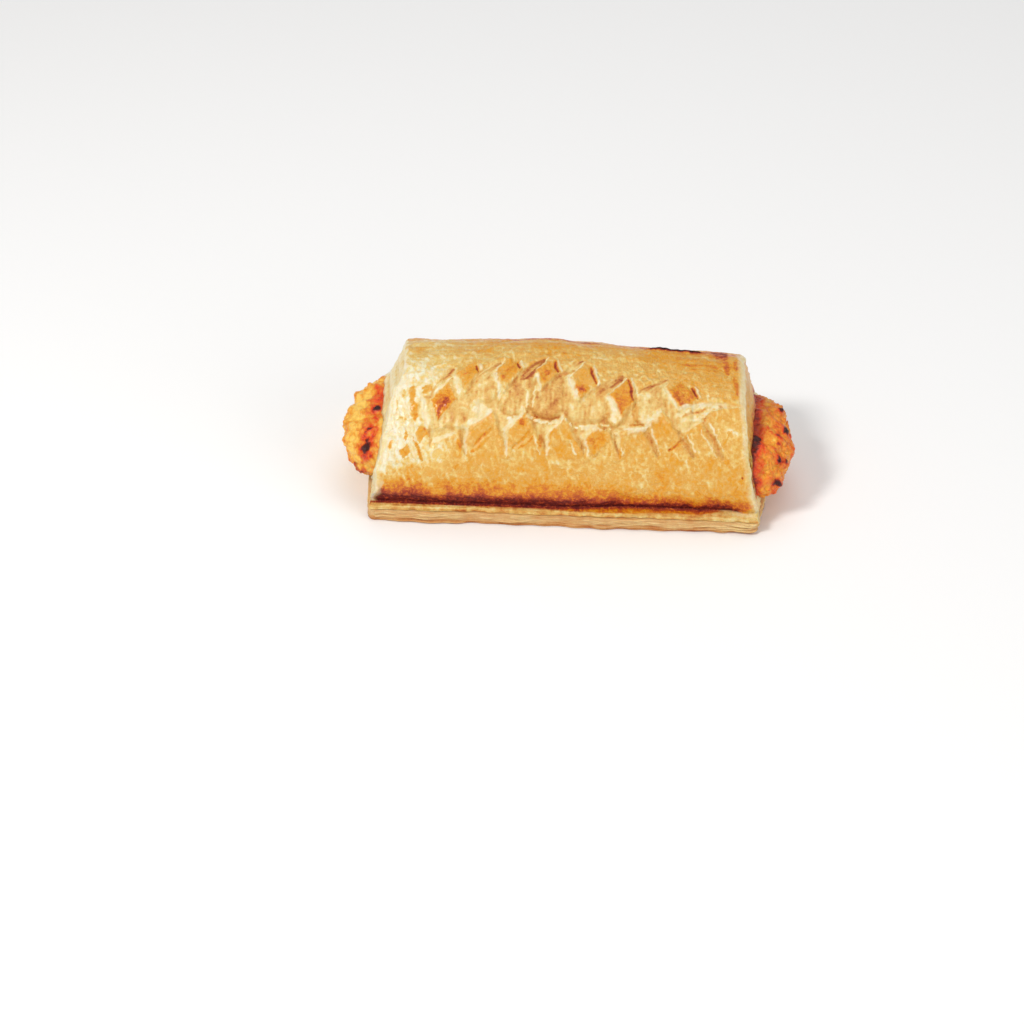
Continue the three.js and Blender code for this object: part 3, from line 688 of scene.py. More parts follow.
bulge = np.where(front, FOOT_BULGE * ease(20, -20, x) * band((0.02, 0.15, 0.3, 0.7), rise), 0)
strip_part = np.clip(section_beyond / STRIP, 0, 1)
pinch_along = ease(-2, 24, x) * ease(66, 56, x) * (0.85 + 0.3 * lumps(x, 0, 0, 8, 44))
pinch = np.where(front, FOOT_PINCH * pinch_along * ease(0.25, 0, rise) * (1 - strip_part), 0)
edge_wave = 0.5 * dough(2 * x, section_y, 0.9) + 0.3 * lumps(x, arc, 0, 2.4, 38)
edge_layers = 0.22 * lumps(0.1 * x, 2.2 * section_beyond, 0, 0.9, 39)
edge_shown = ease(0.3, 1, strip_part) * (section_beyond <= STRIP_END)
edge_out = np.sign(section_y) * edge_shown * (edge_wave + edge_layers)
y = section_y + np.where(on_arch, out_y * lifted, edge_out) - bulge + pinch
z = section_z + np.where(on_arch, out_z * lifted + rise * crown(x), 0)
outside = np.stack([x, y, z], -1)
print("outside from", outside.min((0, 1)).round(1), "to", outside.max((0, 1)).round(1))

# %% Ends and way, closed into a shell
FACE_ROWS = 18
LEAF_RELIEF = 0.45
MOUTH_X = 66
LINING_X = 62
LINING_COLUMNS = 64
LINING_ROWS = 7
inward = (np.arange(1, FACE_ROWS + 1) / FACE_ROWS)[:, None]


def end_face(side):
    """Cut end: straight from the rim in to the mouth of the way, with the layers of the dough as fine ridges
    that follow the rim and break off unevenly."""
    rim = outside[0 if side < 0 else -1]
    mouth_y, mouth_z = way_point(arc_column, np.full_like(arc_column, side * MOUTH_X))
    mouth = np.stack([side * end_reach(mouth_y, mouth_z, side), mouth_y, mouth_z], -1)
    face = blend(rim, mouth, inward[..., None])
    across = np.linalg.norm(mouth - rim, axis=-1) * inward
    leaf = lumps(across, 0.06 * arc_column, side, 0.75, 41)
    leaf = leaf + 0.6 * lumps(across, 0.25 * arc_column, side, 1.5, 42)
    fade = ease(0, 0.1, inward) * ease(1, 0.9, inward) * (section_beyond <= STRIP)
    face[..., 0] += side * LEAF_RELIEF * leaf * fade
    return face, leaf


left_face, left_leaf = end_face(-1)
right_face, right_leaf = end_face(1)
shell = np.concatenate([left_face[::-1], outside, right_face])
rows, columns = shell.shape[:2]
way_columns = np.unique(np.linspace(0, columns - 1, LINING_COLUMNS).astype(int))
way_x = np.linspace(-LINING_X, LINING_X, LINING_ROWS)[:, None]
way_y, way_z = way_point(arc_column[way_columns], way_x)
way = np.stack([np.broadcast_to(way_x, way_y.shape), way_y, way_z], -1)
outer_loop, outer_way = grid_border(rows, columns)
inner_loop, inner_way = grid_border(*way.shape[:2])
zipped = zip_loops(outer_loop, outer_way, inner_loop + rows * columns, inner_way)
print("shell", shell.shape, "way", way.shape, "zip", zipped.shape)

# %% [markdown]
# ## How browned the crust is
# Dough colours in the oven from cream through gold and orange to a burnt red-brown, all along one scale.
# So each point of the sheet gets one number for its browning, one for how far the bared inner dough shows,
# and one for the tone of that dough. Some painted light and shade go into the first and the last as well.
# Painting them by hand would not survive a change of shape, so they come from the same places and fields
# that made the relief.

# %% Browning of the arch
GOLDEN = 0.462
DARKEST = 0.87
BELOW = (-1001, -1000)
ABOVE = (1000, 1001)
# Paler places of the plain skin: change, limits along x and along the arc, as for band. BELOW and ABOVE stand
# for limits far off the roll, so that side stays open.
PALER_PLACES = [
    (-0.24, (*BELOW, -54, -34), (-47, -36, -10, 3)),
    (-0.12, (*BELOW, -60, -53), (-52, -45, -12, -6)),
]
# Places where all of the skin, that of the diamonds too, is browner or paler: browner from the oven, paler at
# the top left as painted light
HEAT_AND_LIGHT_PLACES = [
    (0.035, (10, 50, *ABOVE), (-14, -4, 18, 26)),
    (0.03, (20, 45, *ABOVE), (*BELOW, -42, -34)),
    (0.045, (*BELOW, *ABOVE), (-4, 4, 18, 24)),
    (0.025, (*BELOW, *ABOVE), (4, 11, 24, 40)),
    # Painted light: the top left paler, where the light falls most.
    (-0.09, (*BELOW, -40, -12), (-6, 0, 14, 18)),
]


def places(table):
    """Sum of the changes of all places in a table, each fading out over the limits of its two bands."""
    return sum(change * band(along, x) * band(over, arc) for change, along, over in table)


mottle = 0.05 * crumble(0.7 * x, arc, 2, 9, 53) + 0.03 * crumble(x, 0.6 * arc, 4, 1.8, 46, 2)
mottle = mottle + 0.05 * ease(0.1, 0.7, crumble(x, 0.8 * arc, 3, 4.5, 75, 2)) * ease(-4, -20, arc)
# Small pale flecks over the skin: flaky skin, and painted glints of the egg wash.
flecks_and_glints = ease(0.25, 0.7, crumble(x + 0.3 * arc, 0.6 * arc, 1, 1.4, 47, 3))
flecks_and_glints = flecks_and_glints * (0.105 + 0.06 * ease(-20, -50, x))
marks = 0.14 * wrinkle * ridges - (flecks_and_glints + 0.15 * wisp) * ease(2, 14, seam_up)
plain = ease(0.05, 0.015, brown)
bake_and_light = GOLDEN + brown + mottle + 0.07 * streaks
bake_and_light = bake_and_light + plain * (marks + places(PALER_PLACES)) + places(HEAT_AND_LIGHT_PLACES)
crest = band((-40, -25, 55, 62), x) * bell(arc - 16 + 1.2 * lumps(x, 0, 0, 9, 48), 1.4)
bake_and_light = bake_and_light + (0.14 + 0.08 * ease(5, 30, x)) * crest
span("browning of the arch", bake_and_light)

# %% Browning and painted shade of the seam and the strip
seam_gap = seam_up + 1.5 * lumps(x, 0, 0, 5, 51) + 0.9 * lumps(x, arc, 0, 1.6, 52)
widened = np.where(front, 1.3 * ease(4, -14, x), -1.6)
near_seam = (seam_gap - widened) * (1 + 0.7 * ease(16, 36, x))
bake_and_light = bake_and_light + 0.03 * ease(24, 8, seam_up) + 0.165 * ease(13.5, 4.5, near_seam)
bake_and_light = bake_and_light + 0.13 * ease(5.4, 2.4, near_seam)
# Dark line in the seam: browned dough, and painted shade in the crease under the bulging wall.
seam_burn_and_shade = (0.2 + 0.08 * lumps(x, 0, 0, 7, 59)) * ease(2.6, 0.8, near_seam)
bake_and_light = bake_and_light + seam_burn_and_shade * (1 - 0.6 * ease(-46, -64, x))
bake_and_light = np.minimum(bake_and_light, DARKEST) + 0.42 * np.clip(1.3 * burnt_edge, 0, 1)
scorched = band((46, 51, 59, 61), x) * band((7, 12, 20, 24), arc)
scorched = scorched * ease(-0.6, 0.5, lumps(x, 0.2 * arc, 0, 2, 55))
bake_and_light = bake_and_light + 0.17 * scorched
to_right = ease(-12, 16, x)
# The strip darkens towards the seam and towards the left, where the wall bulges over it: browned dough and
# painted shade.
strip_bake_and_shade = 0.72 - 0.08 * to_right + 0.1 * lumps(x, arc, 0, 3, 56) + 0.14 * ease(0.5, 0, strip_part)
bake_and_light = np.where(on_arch, bake_and_light, np.minimum(strip_bake_and_shade, DARKEST))
corner = ease(60, 65, x + 1.5 * lumps(x, arc, 0, 2, 60)) * ease(4, 0.5, seam_up) * front
bake_and_light = bake_and_light - 0.42 * corner
span("browning with the seam", bake_and_light)

# %% Bared dough at the rims and along the strip
at_left = x < 0
rim_width = np.where(at_left, 0.8 + 2.6 * ease(-2, -16, arc), 2.8)
rim_gap = to_end + np.where(at_left, 1.2, 0.35) * lumps(arc, to_end, 0, 2.5, 57)
rim_band = ease(rim_width, 0.2 * rim_width, rim_gap) * np.where(at_left, 0.85, 0.9) * on_arch
rim_tone = np.where(at_left, 0.1 + 0.32 * rim_line, 0.22 + 0.2 * rim_line)
right_corner = ease(47, 57, x)
strip_edge = strip_part + 0.45 * (1 - to_right) + 0.2 * ease(20, 40, x) + 0.7 * right_corner
strip_tone = 0.6 - 0.1 * right_corner + 0.9 * edge_layers + 0.2 * lumps(x, arc, 0, 1.6, 66)
opened = np.where(on_arch, np.maximum(opened, rim_band), ease(0.75, 1, strip_edge))
tone = np.where(on_arch, np.where(rim_band > 0.2, rim_tone, tone), strip_tone)
print("bared share of the grid", round(float(opened.mean()), 3))

# %% The crust piece
LEFT_FACE_TONE = 0.26
LEFT_FACE_BAKE = 0.4
FACE_OPENED = 0.95


def with_faces(values, left_values, right_values, inside):
    """Adds the values of the cut ends and of the way to those of the outside."""
    lining = np.full(way_y.size, inside)
    return np.concatenate([left_values[::-1].ravel(), values.ravel(), right_values.ravel(), lining])


face_one = np.ones(left_leaf.shape)
right_across = np.linalg.norm(right_face - outside[-1], axis=-1)
to_mouth = np.linalg.norm(right_face - right_face[-1], axis=-1) + 0.8 * lumps(arc_column, 0, 0, 1.5, 65)
past_rim = ease(1.2, 2.2, right_across)
right_skin = past_rim * ease(-46, -38, arc_column)
right_tone = 0.08 + 0.3 * bell(right_across - 0.9, 0.3) + 0.3 * past_rim - 0.1 * right_leaf
right_bake = 0.53 - 0.04 * right_leaf + 0.2 * ease(3.5, 0.8, to_mouth) * right_skin
cover_values = {
    "bake_and_light": with_faces(bake_and_light, LEFT_FACE_BAKE * face_one, right_bake, 0.3),
    "opened": with_faces(opened, FACE_OPENED * face_one, FACE_OPENED - 0.85 * right_skin, 1.0),
    "tone": with_faces(tone, LEFT_FACE_TONE - 0.25 * left_leaf, right_tone, 0.5),
}
cover_points = np.concatenate([shell.reshape(-1, 3), way.reshape(-1, 3)])
cover_faces = [grid_quads(rows, columns), grid_quads(*way.shape[:2]) + rows * columns, zipped]
crust = make_piece("golden_crust", cover_points, cover_faces, cover_values)

# %% [markdown]
# ## The lower sheet
# The lower sheet is a thin slab whose cut edge shows: pale, in fine layers that swelled apart. A profile
# of that edge is carried round a rounded rectangle. Each layer gets its own wavering reach, so that the
# leaves stand out by different amounts, and rings of points close the flat top and the flat underside.

# %% Edge of the lower sheet
BASE_STEP = 0.5
BASE_CORNER = 3.0
BASE_EDGE_ROWS = 27
BASE_LEAVES = 6


def rounded_rectangle(half_x, half_y, radius, step):
    """Points round a rectangle with round corners, evenly spaced, the outward direction at each and the way
    round to it."""
    straight_x, straight_y, quarter = half_x - radius, half_y - radius, radius * np.pi / 2
    total = 4 * (straight_x + straight_y + quarter)
    way = np.linspace(0, total, int(total / step), endpoint=False)
    marks = np.cumsum([0] + 2 * [2 * straight_x, quarter, 2 * straight_y, quarter])
    angle = np.interp(way, marks, np.pi / 2 * np.array([-1, -1, 0, 0, 1, 1, 2, 2, 3]))
    core_x = np.interp(way, marks, straight_x * np.array([-1, 1, 1, 1, 1, -1, -1, -1, -1]))
    core_y = np.interp(way, marks, straight_y * np.array([-1, -1, -1, 1, 1, 1, 1, -1, -1]))
    out = np.stack([np.cos(angle), np.sin(angle)], -1)
    return np.stack([core_x, core_y], -1) + radius * out, out, way


rim_points, rim_out, rim_way = rounded_rectangle(BASE_LENGTH / 2, BASE_WIDTH / 2, BASE_CORNER, BASE_STEP)
rim_y = rim_points[:, 1]
rim_x = rim_points[:, 0] * (1 + BASE_TAPER * rim_y / (BASE_LENGTH / 2))
edge_up = np.linspace(0, 1, BASE_EDGE_ROWS)[:, None]
leaf_number = edge_up * BASE_LEAVES + 0.35 * lumps(rim_way / 9, 0, 0, 1, 61)
leaf_place = 9 * np.floor(leaf_number)
leaf_reach = lumps(rim_way, leaf_place, 0, 6, 62) + 0.25 * lumps(rim_way, leaf_place, 3, 1.4, 63)
leaf_round = np.sqrt(np.clip(1 - (2 * (leaf_number % 1) - 1) ** 2, 0.02, 1))
puffed = ease(18, 4, np.hypot(rim_x - 68, rim_y + 36))
edge_reach = (0.5 + 0.6 * puffed) * leaf_reach * leaf_round + 0.3 * (leaf_round - 1)
corner_cut = 1.3 * ease(62, 69, rim_x) * ease(-18, -34, rim_y)
edge_reach = edge_reach + 0.7 * dough(2 * rim_x, rim_y, 1.7) - corner_cut
print("edge points", len(rim_way), "leaves", BASE_LEAVES)

# %% The base piece
RING_SHARES = np.array([0.03, 0.12, 0.4, 0.7])[:, None]
FLAT_TONE = 0.45
MIDDLE_TONE = 0.5

side_x = rim_x + rim_out[:, 0] * edge_reach
side_y = rim_y + rim_out[:, 1] * edge_reach
side_z = BASE_THICKNESS * edge_up + 0.12 * lumps(rim_x, rim_y, 0, 4, 64) * np.sin(np.pi * edge_up)


def flat_rings(edge_x, edge_y, z):
    """Rings from an edge towards the middle of the slab, shrinking along x and y by the same share."""
    keep = 1 - RING_SHARES
    return np.stack([edge_x * keep, edge_y * keep, np.full((len(keep), len(edge_x)), z)], -1)


under = flat_rings(side_x[0], side_y[0], 0.0)[::-1]
over = flat_rings(side_x[-1], side_y[-1], BASE_THICKNESS)
base_grid = np.concatenate([under, np.stack([side_x, side_y, side_z], -1), over])
base_size = base_grid.shape[:2]
base_points = np.concatenate([base_grid.reshape(-1, 3), [[0, 0, 0], [0, 0, BASE_THICKNESS]]])
# Painted shade: the edge is darker overall and darker still towards the floor, a little less at the left.
edge_shade = 0.32 * ease(0.5, 0.12, edge_up) * (0.75 + 0.25 * ease(0, 40, rim_x))
base_tone = np.full(base_size, FLAT_TONE)
edge_tone = 0.51 + 0.2 * (1 - leaf_round) - 0.14 * leaf_reach - 0.08 * puffed + edge_shade
base_tone[len(under):-len(over)] = edge_tone
base_values = {
    "tone": np.append(base_tone.ravel(), [MIDDLE_TONE, MIDDLE_TONE]),
    "opened": np.ones(len(base_points)),
    "bake_and_light": np.full(len(base_points), 0.5),
}
base_faces = [grid_quads(*base_size, True), *tip_fans(*base_size)]
base = make_piece("layered_base", base_points, base_faces, base_values)

# %% [markdown]
# ## The meat log
# Minced meat swells in the heat and pushes out of both ends as a lumpy dome. The log runs right through,
# as the real one does. Its section is the same superellipse as the way it fills. The ends are domes whose
# lumps come from a field with sharp creases between round humps, because mince is a heap of grains.

# %% Body of the log
LOG_STRAIGHT = 62
LOG_REACH = (79.3, 78.4)
LOG_TURNS = 260
DOME_ROWS = 104

dome_turn = np.linspace(0, np.pi / 2, DOME_ROWS + 1)[:-1]
dome_size = np.cos(dome_turn) ** (2 / LOG_POWER)
dome_way = np.sin(dome_turn) ** (2 / LOG_POWER)
left_x = -(LOG_STRAIGHT + (LOG_REACH[0] - LOG_STRAIGHT) * dome_way)[::-1]
right_x = LOG_STRAIGHT + (LOG_REACH[1] - LOG_STRAIGHT) * dome_way
log_x = np.concatenate([left_x, np.linspace(-LOG_STRAIGHT, LOG_STRAIGHT, 5)[1:-1], right_x])[:, None]
log_size = np.concatenate([dome_size[::-1], np.ones(3), dome_size])[:, None]
ring_y, ring_z = log_section(np.linspace(0, 2 * np.pi, LOG_TURNS, endpoint=False), 0)
log_y = LOG_Y + LOG_BEND * log_x + (ring_y - LOG_Y) * log_size
log_z = LOG_Z + (ring_z - LOG_Z) * log_size
slant = 0.16 * np.clip(log_y + 2, 0, None) * ease(64, 76, -log_x)
log_x = np.broadcast_to(log_x, log_y.shape) + slant
smooth_log = np.stack([log_x, log_y, log_z], -1).astype(np.float32)
print("log grid", log_y.shape)

# %% Grains of the mince
GRAINS = 300
GRAIN_RADIUS = 1.8
SHOWN_FROM = BASE_LENGTH / 2 - 11
rng = np.random.default_rng(23)


def mince_grains(points, weights, count):
    """Heap of grains: every point goes to the nearest of some seeds drawn from the points, each seed
    counting as nearer by its own radius. Gives how far the point is from the crease to the next grain, the
    lift of its grain and the tone of its grain."""
    picked = rng.choice(len(points), count, replace=False, p=weights / weights.sum())
    seeds = points[picked]
    radii = rng.uniform(0, GRAIN_RADIUS, count)
    square = (points**2).sum(-1)[:, None] - 2 * points @ seeds.T + (seeds**2).sum(-1)
    away = np.sqrt(np.maximum(square, 0)) - radii
    number = away.argmin(1)
    every = np.arange(len(points))
    first = away[every, number]
    away[every, number] = np.inf
    return away.min(1) - first, rng.uniform(-1, 1, count)[number], rng.normal(0, 0.5, count)[number]


crease_gap, grain_lift, grain_tone = np.zeros((3,) + log_y.shape)
for end in (-1, 1):
    shown = (log_x * end > SHOWN_FROM)[:, 0]
    found = mince_grains(smooth_log[shown].reshape(-1, 3), np.repeat(log_size[shown, 0], LOG_TURNS), GRAINS)
    for field, values in zip((crease_gap, grain_lift, grain_tone), found):
        field[shown] = values.reshape(-1, LOG_TURNS)
print("grains", 2 * GRAINS, "widest gap", round(float(crease_gap.max()), 1))

# %% Burnt bits and lumps
# Burnt bits that stand out: x, y, z, radius, how dark
BURNT = [
    (64.5, -7, 28, 1.3, 0.9), (65.6, -18, 27.1, 2.3, 0.9), (74.3, 3.6, 25, 1.6, 0.9),
    (75.7, -7.9, 24.6, 2.3, 1), (74, -22.2, 22, 2.5, 0.9), (76, -20, 20, 1.5, 0.8),
    (72.5, -27.2, 16.1, 2.0, 0.9), (73.2, -13.2, 25.9, 1.7, 0.5), (73.5, -16.8, 25.2, 1.2, 0.6),
    (70, -13, 27, 1.2, 0.4), (68, 9, 27, 1.2, 0.7), (69, -28, 14, 1.5, 0.45), (-66.9, -7.5, 27.7, 1.6, 1),
    (-69.7, -23.2, 21.9, 2.6, 0.9), (-71.8, -21.9, 11, 4.2, 0.6), (-71, 8, 24, 1.0, 0.6),
    (-68.5, -17.5, 25.6, 1.2, 0.6), (77, 0, 14, 1.6, 0.8), (76, 12, 15, 1.4, 0.7), (-76, 0, 13, 1.7, 0.7),
    (-73, 14, 18, 1.4, 0.7),
]
broad = crumble(log_x, log_y, log_z, 6, 71, 2)
fine = crumble(log_x, log_y, log_z, 1.3, 73, 2)
ragged = crumble(log_x, log_y, log_z, 1.8, 74, 2)
burnt_and_shade = np.zeros_like(log_y)
halo = np.zeros_like(log_y)
for *place, radius, dark in BURNT:
    away = np.linalg.norm(smooth_log - np.array(place, np.float32), axis=-1) + 0.32 * radius * ragged
    burnt_and_shade = np.maximum(burnt_and_shade, dark * ease(radius, 0.4 * radius, away))
    halo = np.maximum(halo, dark * ease(2.2 * radius, radius, away))
swell = dough(2.2 * log_y + 2 * log_x, 2.6 * log_z, np.sign(log_x) * 2.3)
round_top = ease(-0.6, 2.4, crease_gap)
# Here it holds only the burnt bits; the painted shade by the right rim is added further down.
push = 0.9 * swell + broad + 0.8 * round_top + 0.3 * grain_lift + 0.35 * fine + 0.7 * burnt_and_shade - 0.55
push = push * ease(BASE_LENGTH / 2 - 10, BASE_LENGTH / 2 - 3, np.abs(log_x))
span("push", push)

# %% Lumpy surface of the log
DOME_DEPTH = 17

axis_x = np.sign(log_x) * np.clip(np.abs(log_x) - LOG_STRAIGHT, 0, None) / DOME_DEPTH
axis_y = (log_y - LOG_Y - LOG_BEND * log_x) / LOG_HALF_WIDTH
axis_z = (log_z - LOG_Z) / LOG_HALF_HEIGHT
lift = push / np.sqrt(axis_x**2 + axis_y**2 + axis_z**2)
lifted_z = np.maximum(log_z + lift * axis_z, STRIP_UNDERSIDE - 0.1)
log_grid = np.stack([log_x + lift * axis_x, log_y + lift * axis_y, lifted_z], -1)
print("log from", log_grid.min((0, 1)).round(1), "to", log_grid.max((0, 1)).round(1))

# %% Colour of the meat
# Red juices along the rim of the left end, from one place to another
RED_LINE = np.array([(-65, 3, 28), (-69.4, -24, 21.5)])
red_way = RED_LINE[1] - RED_LINE[0]
red_share = np.clip((smooth_log - RED_LINE[0]) @ red_way / (red_way @ red_way), 0, 1)
red_gap = np.linalg.norm(smooth_log - RED_LINE[0] - red_share[..., None] * red_way, axis=-1) + 1.2 * broad
on_left = log_x < 0
# Grain tops yellower and creases between grains redder: the meat's own colour, with painted highlight on the
# tops and painted shade in the creases.
crevice = 0.36 - np.where(on_left, 0.14, 0.05) * round_top + 0.16 * halo
crevice = crevice + 0.14 * grain_tone + 0.14 * broad + 0.2 * fine + 0.42 * ease(6.6, 2.6, red_gap)
crevice = np.where(on_left, crevice - 0.24, 0.41 + 0.62 * (crevice - 0.42))
crevice = crevice - (0.02 + 0.12 * grain_tone) * ease(70, 74, -log_x)
crevice = crevice + ease(62, 66, -log_x) * (0.16 * ease(74, 78.5, -log_x) + 0.14 * ease(4, 14, log_y))
# Painted shade: the meat next to the right rim darkens, and joins the burnt bits in the same number.
shade = ease(69.5, 65, log_x + 1.5 * broad) * ease(0, 1, log_x)
burnt_and_shade = np.maximum(burnt_and_shade, 0.62 * shade)
print("mean colour number", round(float(crevice.mean()), 2), "darkest", round(float(burnt_and_shade.max()), 2))

# %% The meat piece
TIP_TONE = 0.3

log_grid_size = log_grid.shape[:2]
log_points = np.concatenate([log_grid.reshape(-1, 3), [log_grid[0].mean(0), log_grid[-1].mean(0)]])
log_values = {
    "burnt_and_shade": np.append(burnt_and_shade.ravel(), [0, 0]),
    "crevice": np.append(crevice.ravel(), [TIP_TONE, TIP_TONE]),
}
log_faces = [grid_quads(*log_grid_size, True), *tip_fans(*log_grid_size)]
meat = make_piece("spiced_meat", log_points, log_faces, log_values)

# %% [markdown]
# ## Finishes
# Each finish is a Principled shader fed by colour ramps. The number for browning runs through a ramp from
# cream to burnt, like the dough in the oven, and fine noise shifts it a little from place to place. A
# painted image would show the same, but only at one size, while noise in millimetres holds at any
# distance.

# %% Node helpers


def srgb(red, green, blue):
    """Linear colour from display values of 0 to 255, with full alpha."""
    share = np.array([red, green, blue]) / 255
    linear = np.where(share <= 0.04045, share / 12.92, ((share + 0.055) / 1.055) ** 2.4)
    return (*linear.tolist(), 1.0)


def fill_inputs(tree, node, inputs):
    """Each named input of a node is either linked from a socket or set to a value."""
    for key, value in inputs.items():
        if isinstance(value, bpy.types.NodeSocket):
            tree.links.new(value, node.inputs[key])
        else:
            node.inputs[key].default_value = value


def add_node(tree, kind, settings, inputs):
    """New node of a kind with its settings and its inputs."""
    node = tree.nodes.new(kind)
    for key, value in settings.items():
        setattr(node, key, value)
    fill_inputs(tree, node, inputs)
    return node


def maths(tree, operation, first, second):
    """Math node: the output of an operation on two sockets or numbers."""
    return add_node(tree, "ShaderNodeMath", {"operation": operation}, {0: first, 1: second}).outputs[0]


def mixed(tree, share, first, second):
    """Colour between two by a share, as a socket."""
    node = add_node(tree, "ShaderNodeMix", {"data_type": "RGBA"}, {"Factor": share, 6: first, 7: second})
    return node.outputs[2]


def ramp(tree, value, stops):
    """Colour ramp through stops, each a place and a red, green and blue of 0 to 255."""
    node = add_node(tree, "ShaderNodeValToRGB", {}, {"Fac": value})
    elements = node.color_ramp.elements
    while len(elements) < len(stops):
        elements.new(0.5)
    for element, (place, *colour) in zip(elements, stops):
        element.position = place
        element.color = srgb(*colour)
    return node.outputs["Color"]


def attribute(tree, name):
    """Number that the mesh carries for each point."""
    return add_node(tree, "ShaderNodeAttribute", {"attribute_name": name}, {}).outputs["Fac"]


def new_material(name):
    """Empty material with its Principled shader."""
    material = bpy.data.materials.new(name)
    material.use_nodes = True
    return material, material.node_tree, material.node_tree.nodes["Principled BSDF"]


print("colour check", [round(v, 3) for v in srgb(228, 168, 80)])

# %% [markdown]
# ### Shared grain of baked dough
# All the dough has the same fine life: cloudy patches from uneven heat, and a grain of tiny blisters. One
# node group holds both. It puts out a shift of colour and a height, and each finish sets how large they
# are.

# %% Dough grain group
GRAIN_HEIGHT = 0.0006


def noise(tree, place, scale, roughness):
    """Noise of three octaves at a place, about 0 to 1."""
    inputs = {"Vector": place, "Scale": scale, "Detail": 3.0, "Roughness": roughness}
    return add_node(tree, "ShaderNodeTexNoise", {}, inputs).outputs["Fac"]


def dough_grain_group():
    """Group with two noises on object coordinates: clouds and grain, added up to shift the colour and to
    give a height."""
    group = bpy.data.node_groups.new("dough_grain", "ShaderNodeTree")
    for name, default in (("Cloud Scale", 160), ("Grain Scale", 1500), ("Shift", 0.1)):
        socket = group.interface.new_socket(name, in_out="INPUT", socket_type="NodeSocketFloat")
        socket.default_value = default
    for name in ("Colour Shift", "Height"):
        group.interface.new_socket(name, in_out="OUTPUT", socket_type="NodeSocketFloat")
    start = group.nodes.new("NodeGroupInput").outputs
    place = group.nodes.new("ShaderNodeTexCoord").outputs["Object"]
    cloud = noise(group, place, start["Cloud Scale"], 0.55)
    grain = noise(group, place, start["Grain Scale"], 0.6)
    both = maths(group, "ADD", maths(group, "MULTIPLY", cloud, 1.5), maths(group, "MULTIPLY", grain, 0.9))
    centred = maths(group, "SUBTRACT", both, 1.2)
    fill_inputs(group, group.nodes.new("NodeGroupOutput"), {
        "Colour Shift": maths(group, "MULTIPLY", centred, start["Shift"]),
        "Height": maths(group, "ADD", maths(group, "MULTIPLY", cloud, 0.6), grain),
    })
    return group


def grained(tree, cloud_scale, grain_scale, shift, bump):
    """The group placed in a material: its shift of colour, and the normal that its height gives."""
    inputs = {"Cloud Scale": cloud_scale, "Grain Scale": grain_scale, "Shift": shift}
    grain = add_node(tree, "ShaderNodeGroup", {"node_tree": dough_grain}, inputs)
    inputs = {"Strength": bump, "Distance": GRAIN_HEIGHT, "Height": grain.outputs["Height"]}
    return grain.outputs["Colour Shift"], add_node(tree, "ShaderNodeBump", {}, inputs).outputs["Normal"]


dough_grain = dough_grain_group()
print("group outputs", [item.name for item in dough_grain.interface.items_tree if item.in_out == "OUTPUT"])

# %% [markdown]
# ### Skin and layers
# Egg-washed skin is satin, bared layers and burnt places are duller. Both finishes share one recipe: a
# ramp for the browned skin, a ramp for the inner dough, and the mesh's own numbers to choose between them.
# A little light passes through thin dough, so a weak subsurface goes in as well.

# %% Crust and layer finishes
BAKE_STOPS = [
    (0.0, 252, 244, 218), (0.2, 244, 225, 172), (0.36, 240, 200, 110), (0.46, 232, 175, 80),
    (0.56, 234, 161, 24), (0.66, 217, 114, 16), (0.76, 176, 64, 28), (0.87, 110, 22, 16), (1.0, 44, 14, 10),
]
TONE_STOPS = [
    (0.0, 252, 241, 208), (0.35, 242, 214, 142), (0.6, 230, 182, 98), (0.8, 212, 141, 66),
    (1.0, 172, 80, 30),
]
# Greyer, duller copy of the inner dough's ramp for the lower sheet: painted shade for an edge low by the
# floor.
SHADED_EDGE_STOPS = [
    (0.0, 248, 232, 192), (0.35, 232, 200, 140), (0.6, 215, 168, 108), (0.8, 200, 138, 74),
    (1.0, 166, 84, 38),
]
BURNT_FROM = 0.66
EGG_WASH = 0.3


def dough_finish(name, inner_stops, shift, cloud_scale, roughness, bump):
    """Baked dough: browning through one ramp, bared layers through another, mixed by how far they show.
    Burnt and bared places lose the coat of egg wash and turn rougher."""
    material, tree, shader = new_material(name)
    moved, normal = grained(tree, cloud_scale, 1700.0, shift, bump)
    bake_and_light = attribute(tree, "bake_and_light")
    opened = attribute(tree, "opened")
    browner = maths(tree, "MULTIPLY", maths(tree, "MAXIMUM", moved, 0.0), 0.6)
    skin = ramp(tree, maths(tree, "ADD", bake_and_light, maths(tree, "SUBTRACT", moved, browner)), BAKE_STOPS)
    inner = ramp(tree, maths(tree, "ADD", attribute(tree, "tone"), moved), inner_stops)
    burnt = maths(tree, "MAXIMUM", maths(tree, "SUBTRACT", bake_and_light, BURNT_FROM), 0.0)
    matt = maths(tree, "MULTIPLY", opened, 0.15)
    rough = maths(tree, "ADD", maths(tree, "MULTIPLY", opened, 0.04), roughness)
    rough = maths(tree, "ADD", rough, maths(tree, "MULTIPLY", burnt, 2.2))
    fill_inputs(tree, shader, {
        "Base Color": mixed(tree, opened, skin, inner),
        "Roughness": maths(tree, "ADD", rough, maths(tree, "MULTIPLY", moved, 0.5)),
        "Coat Weight": maths(tree, "SUBTRACT", maths(tree, "SUBTRACT", EGG_WASH, burnt), matt),
        "Coat Roughness": 0.2,
        "Specular IOR Level": 0.32,
        "Subsurface Weight": 0.2,
        "Subsurface Radius": (1.0, 0.5, 0.2),
        "Subsurface Scale": 0.002,
        "Normal": normal,
    })
    return material


crust.data.materials.append(dough_finish("golden_skin", TONE_STOPS, 0.38, 800.0, 0.32, 0.9))
base.data.materials.append(dough_finish("pale_layers", SHADED_EDGE_STOPS, 0.26, 300.0, 0.55, 0.4))
print("finishes", [material.name for material in bpy.data.materials])

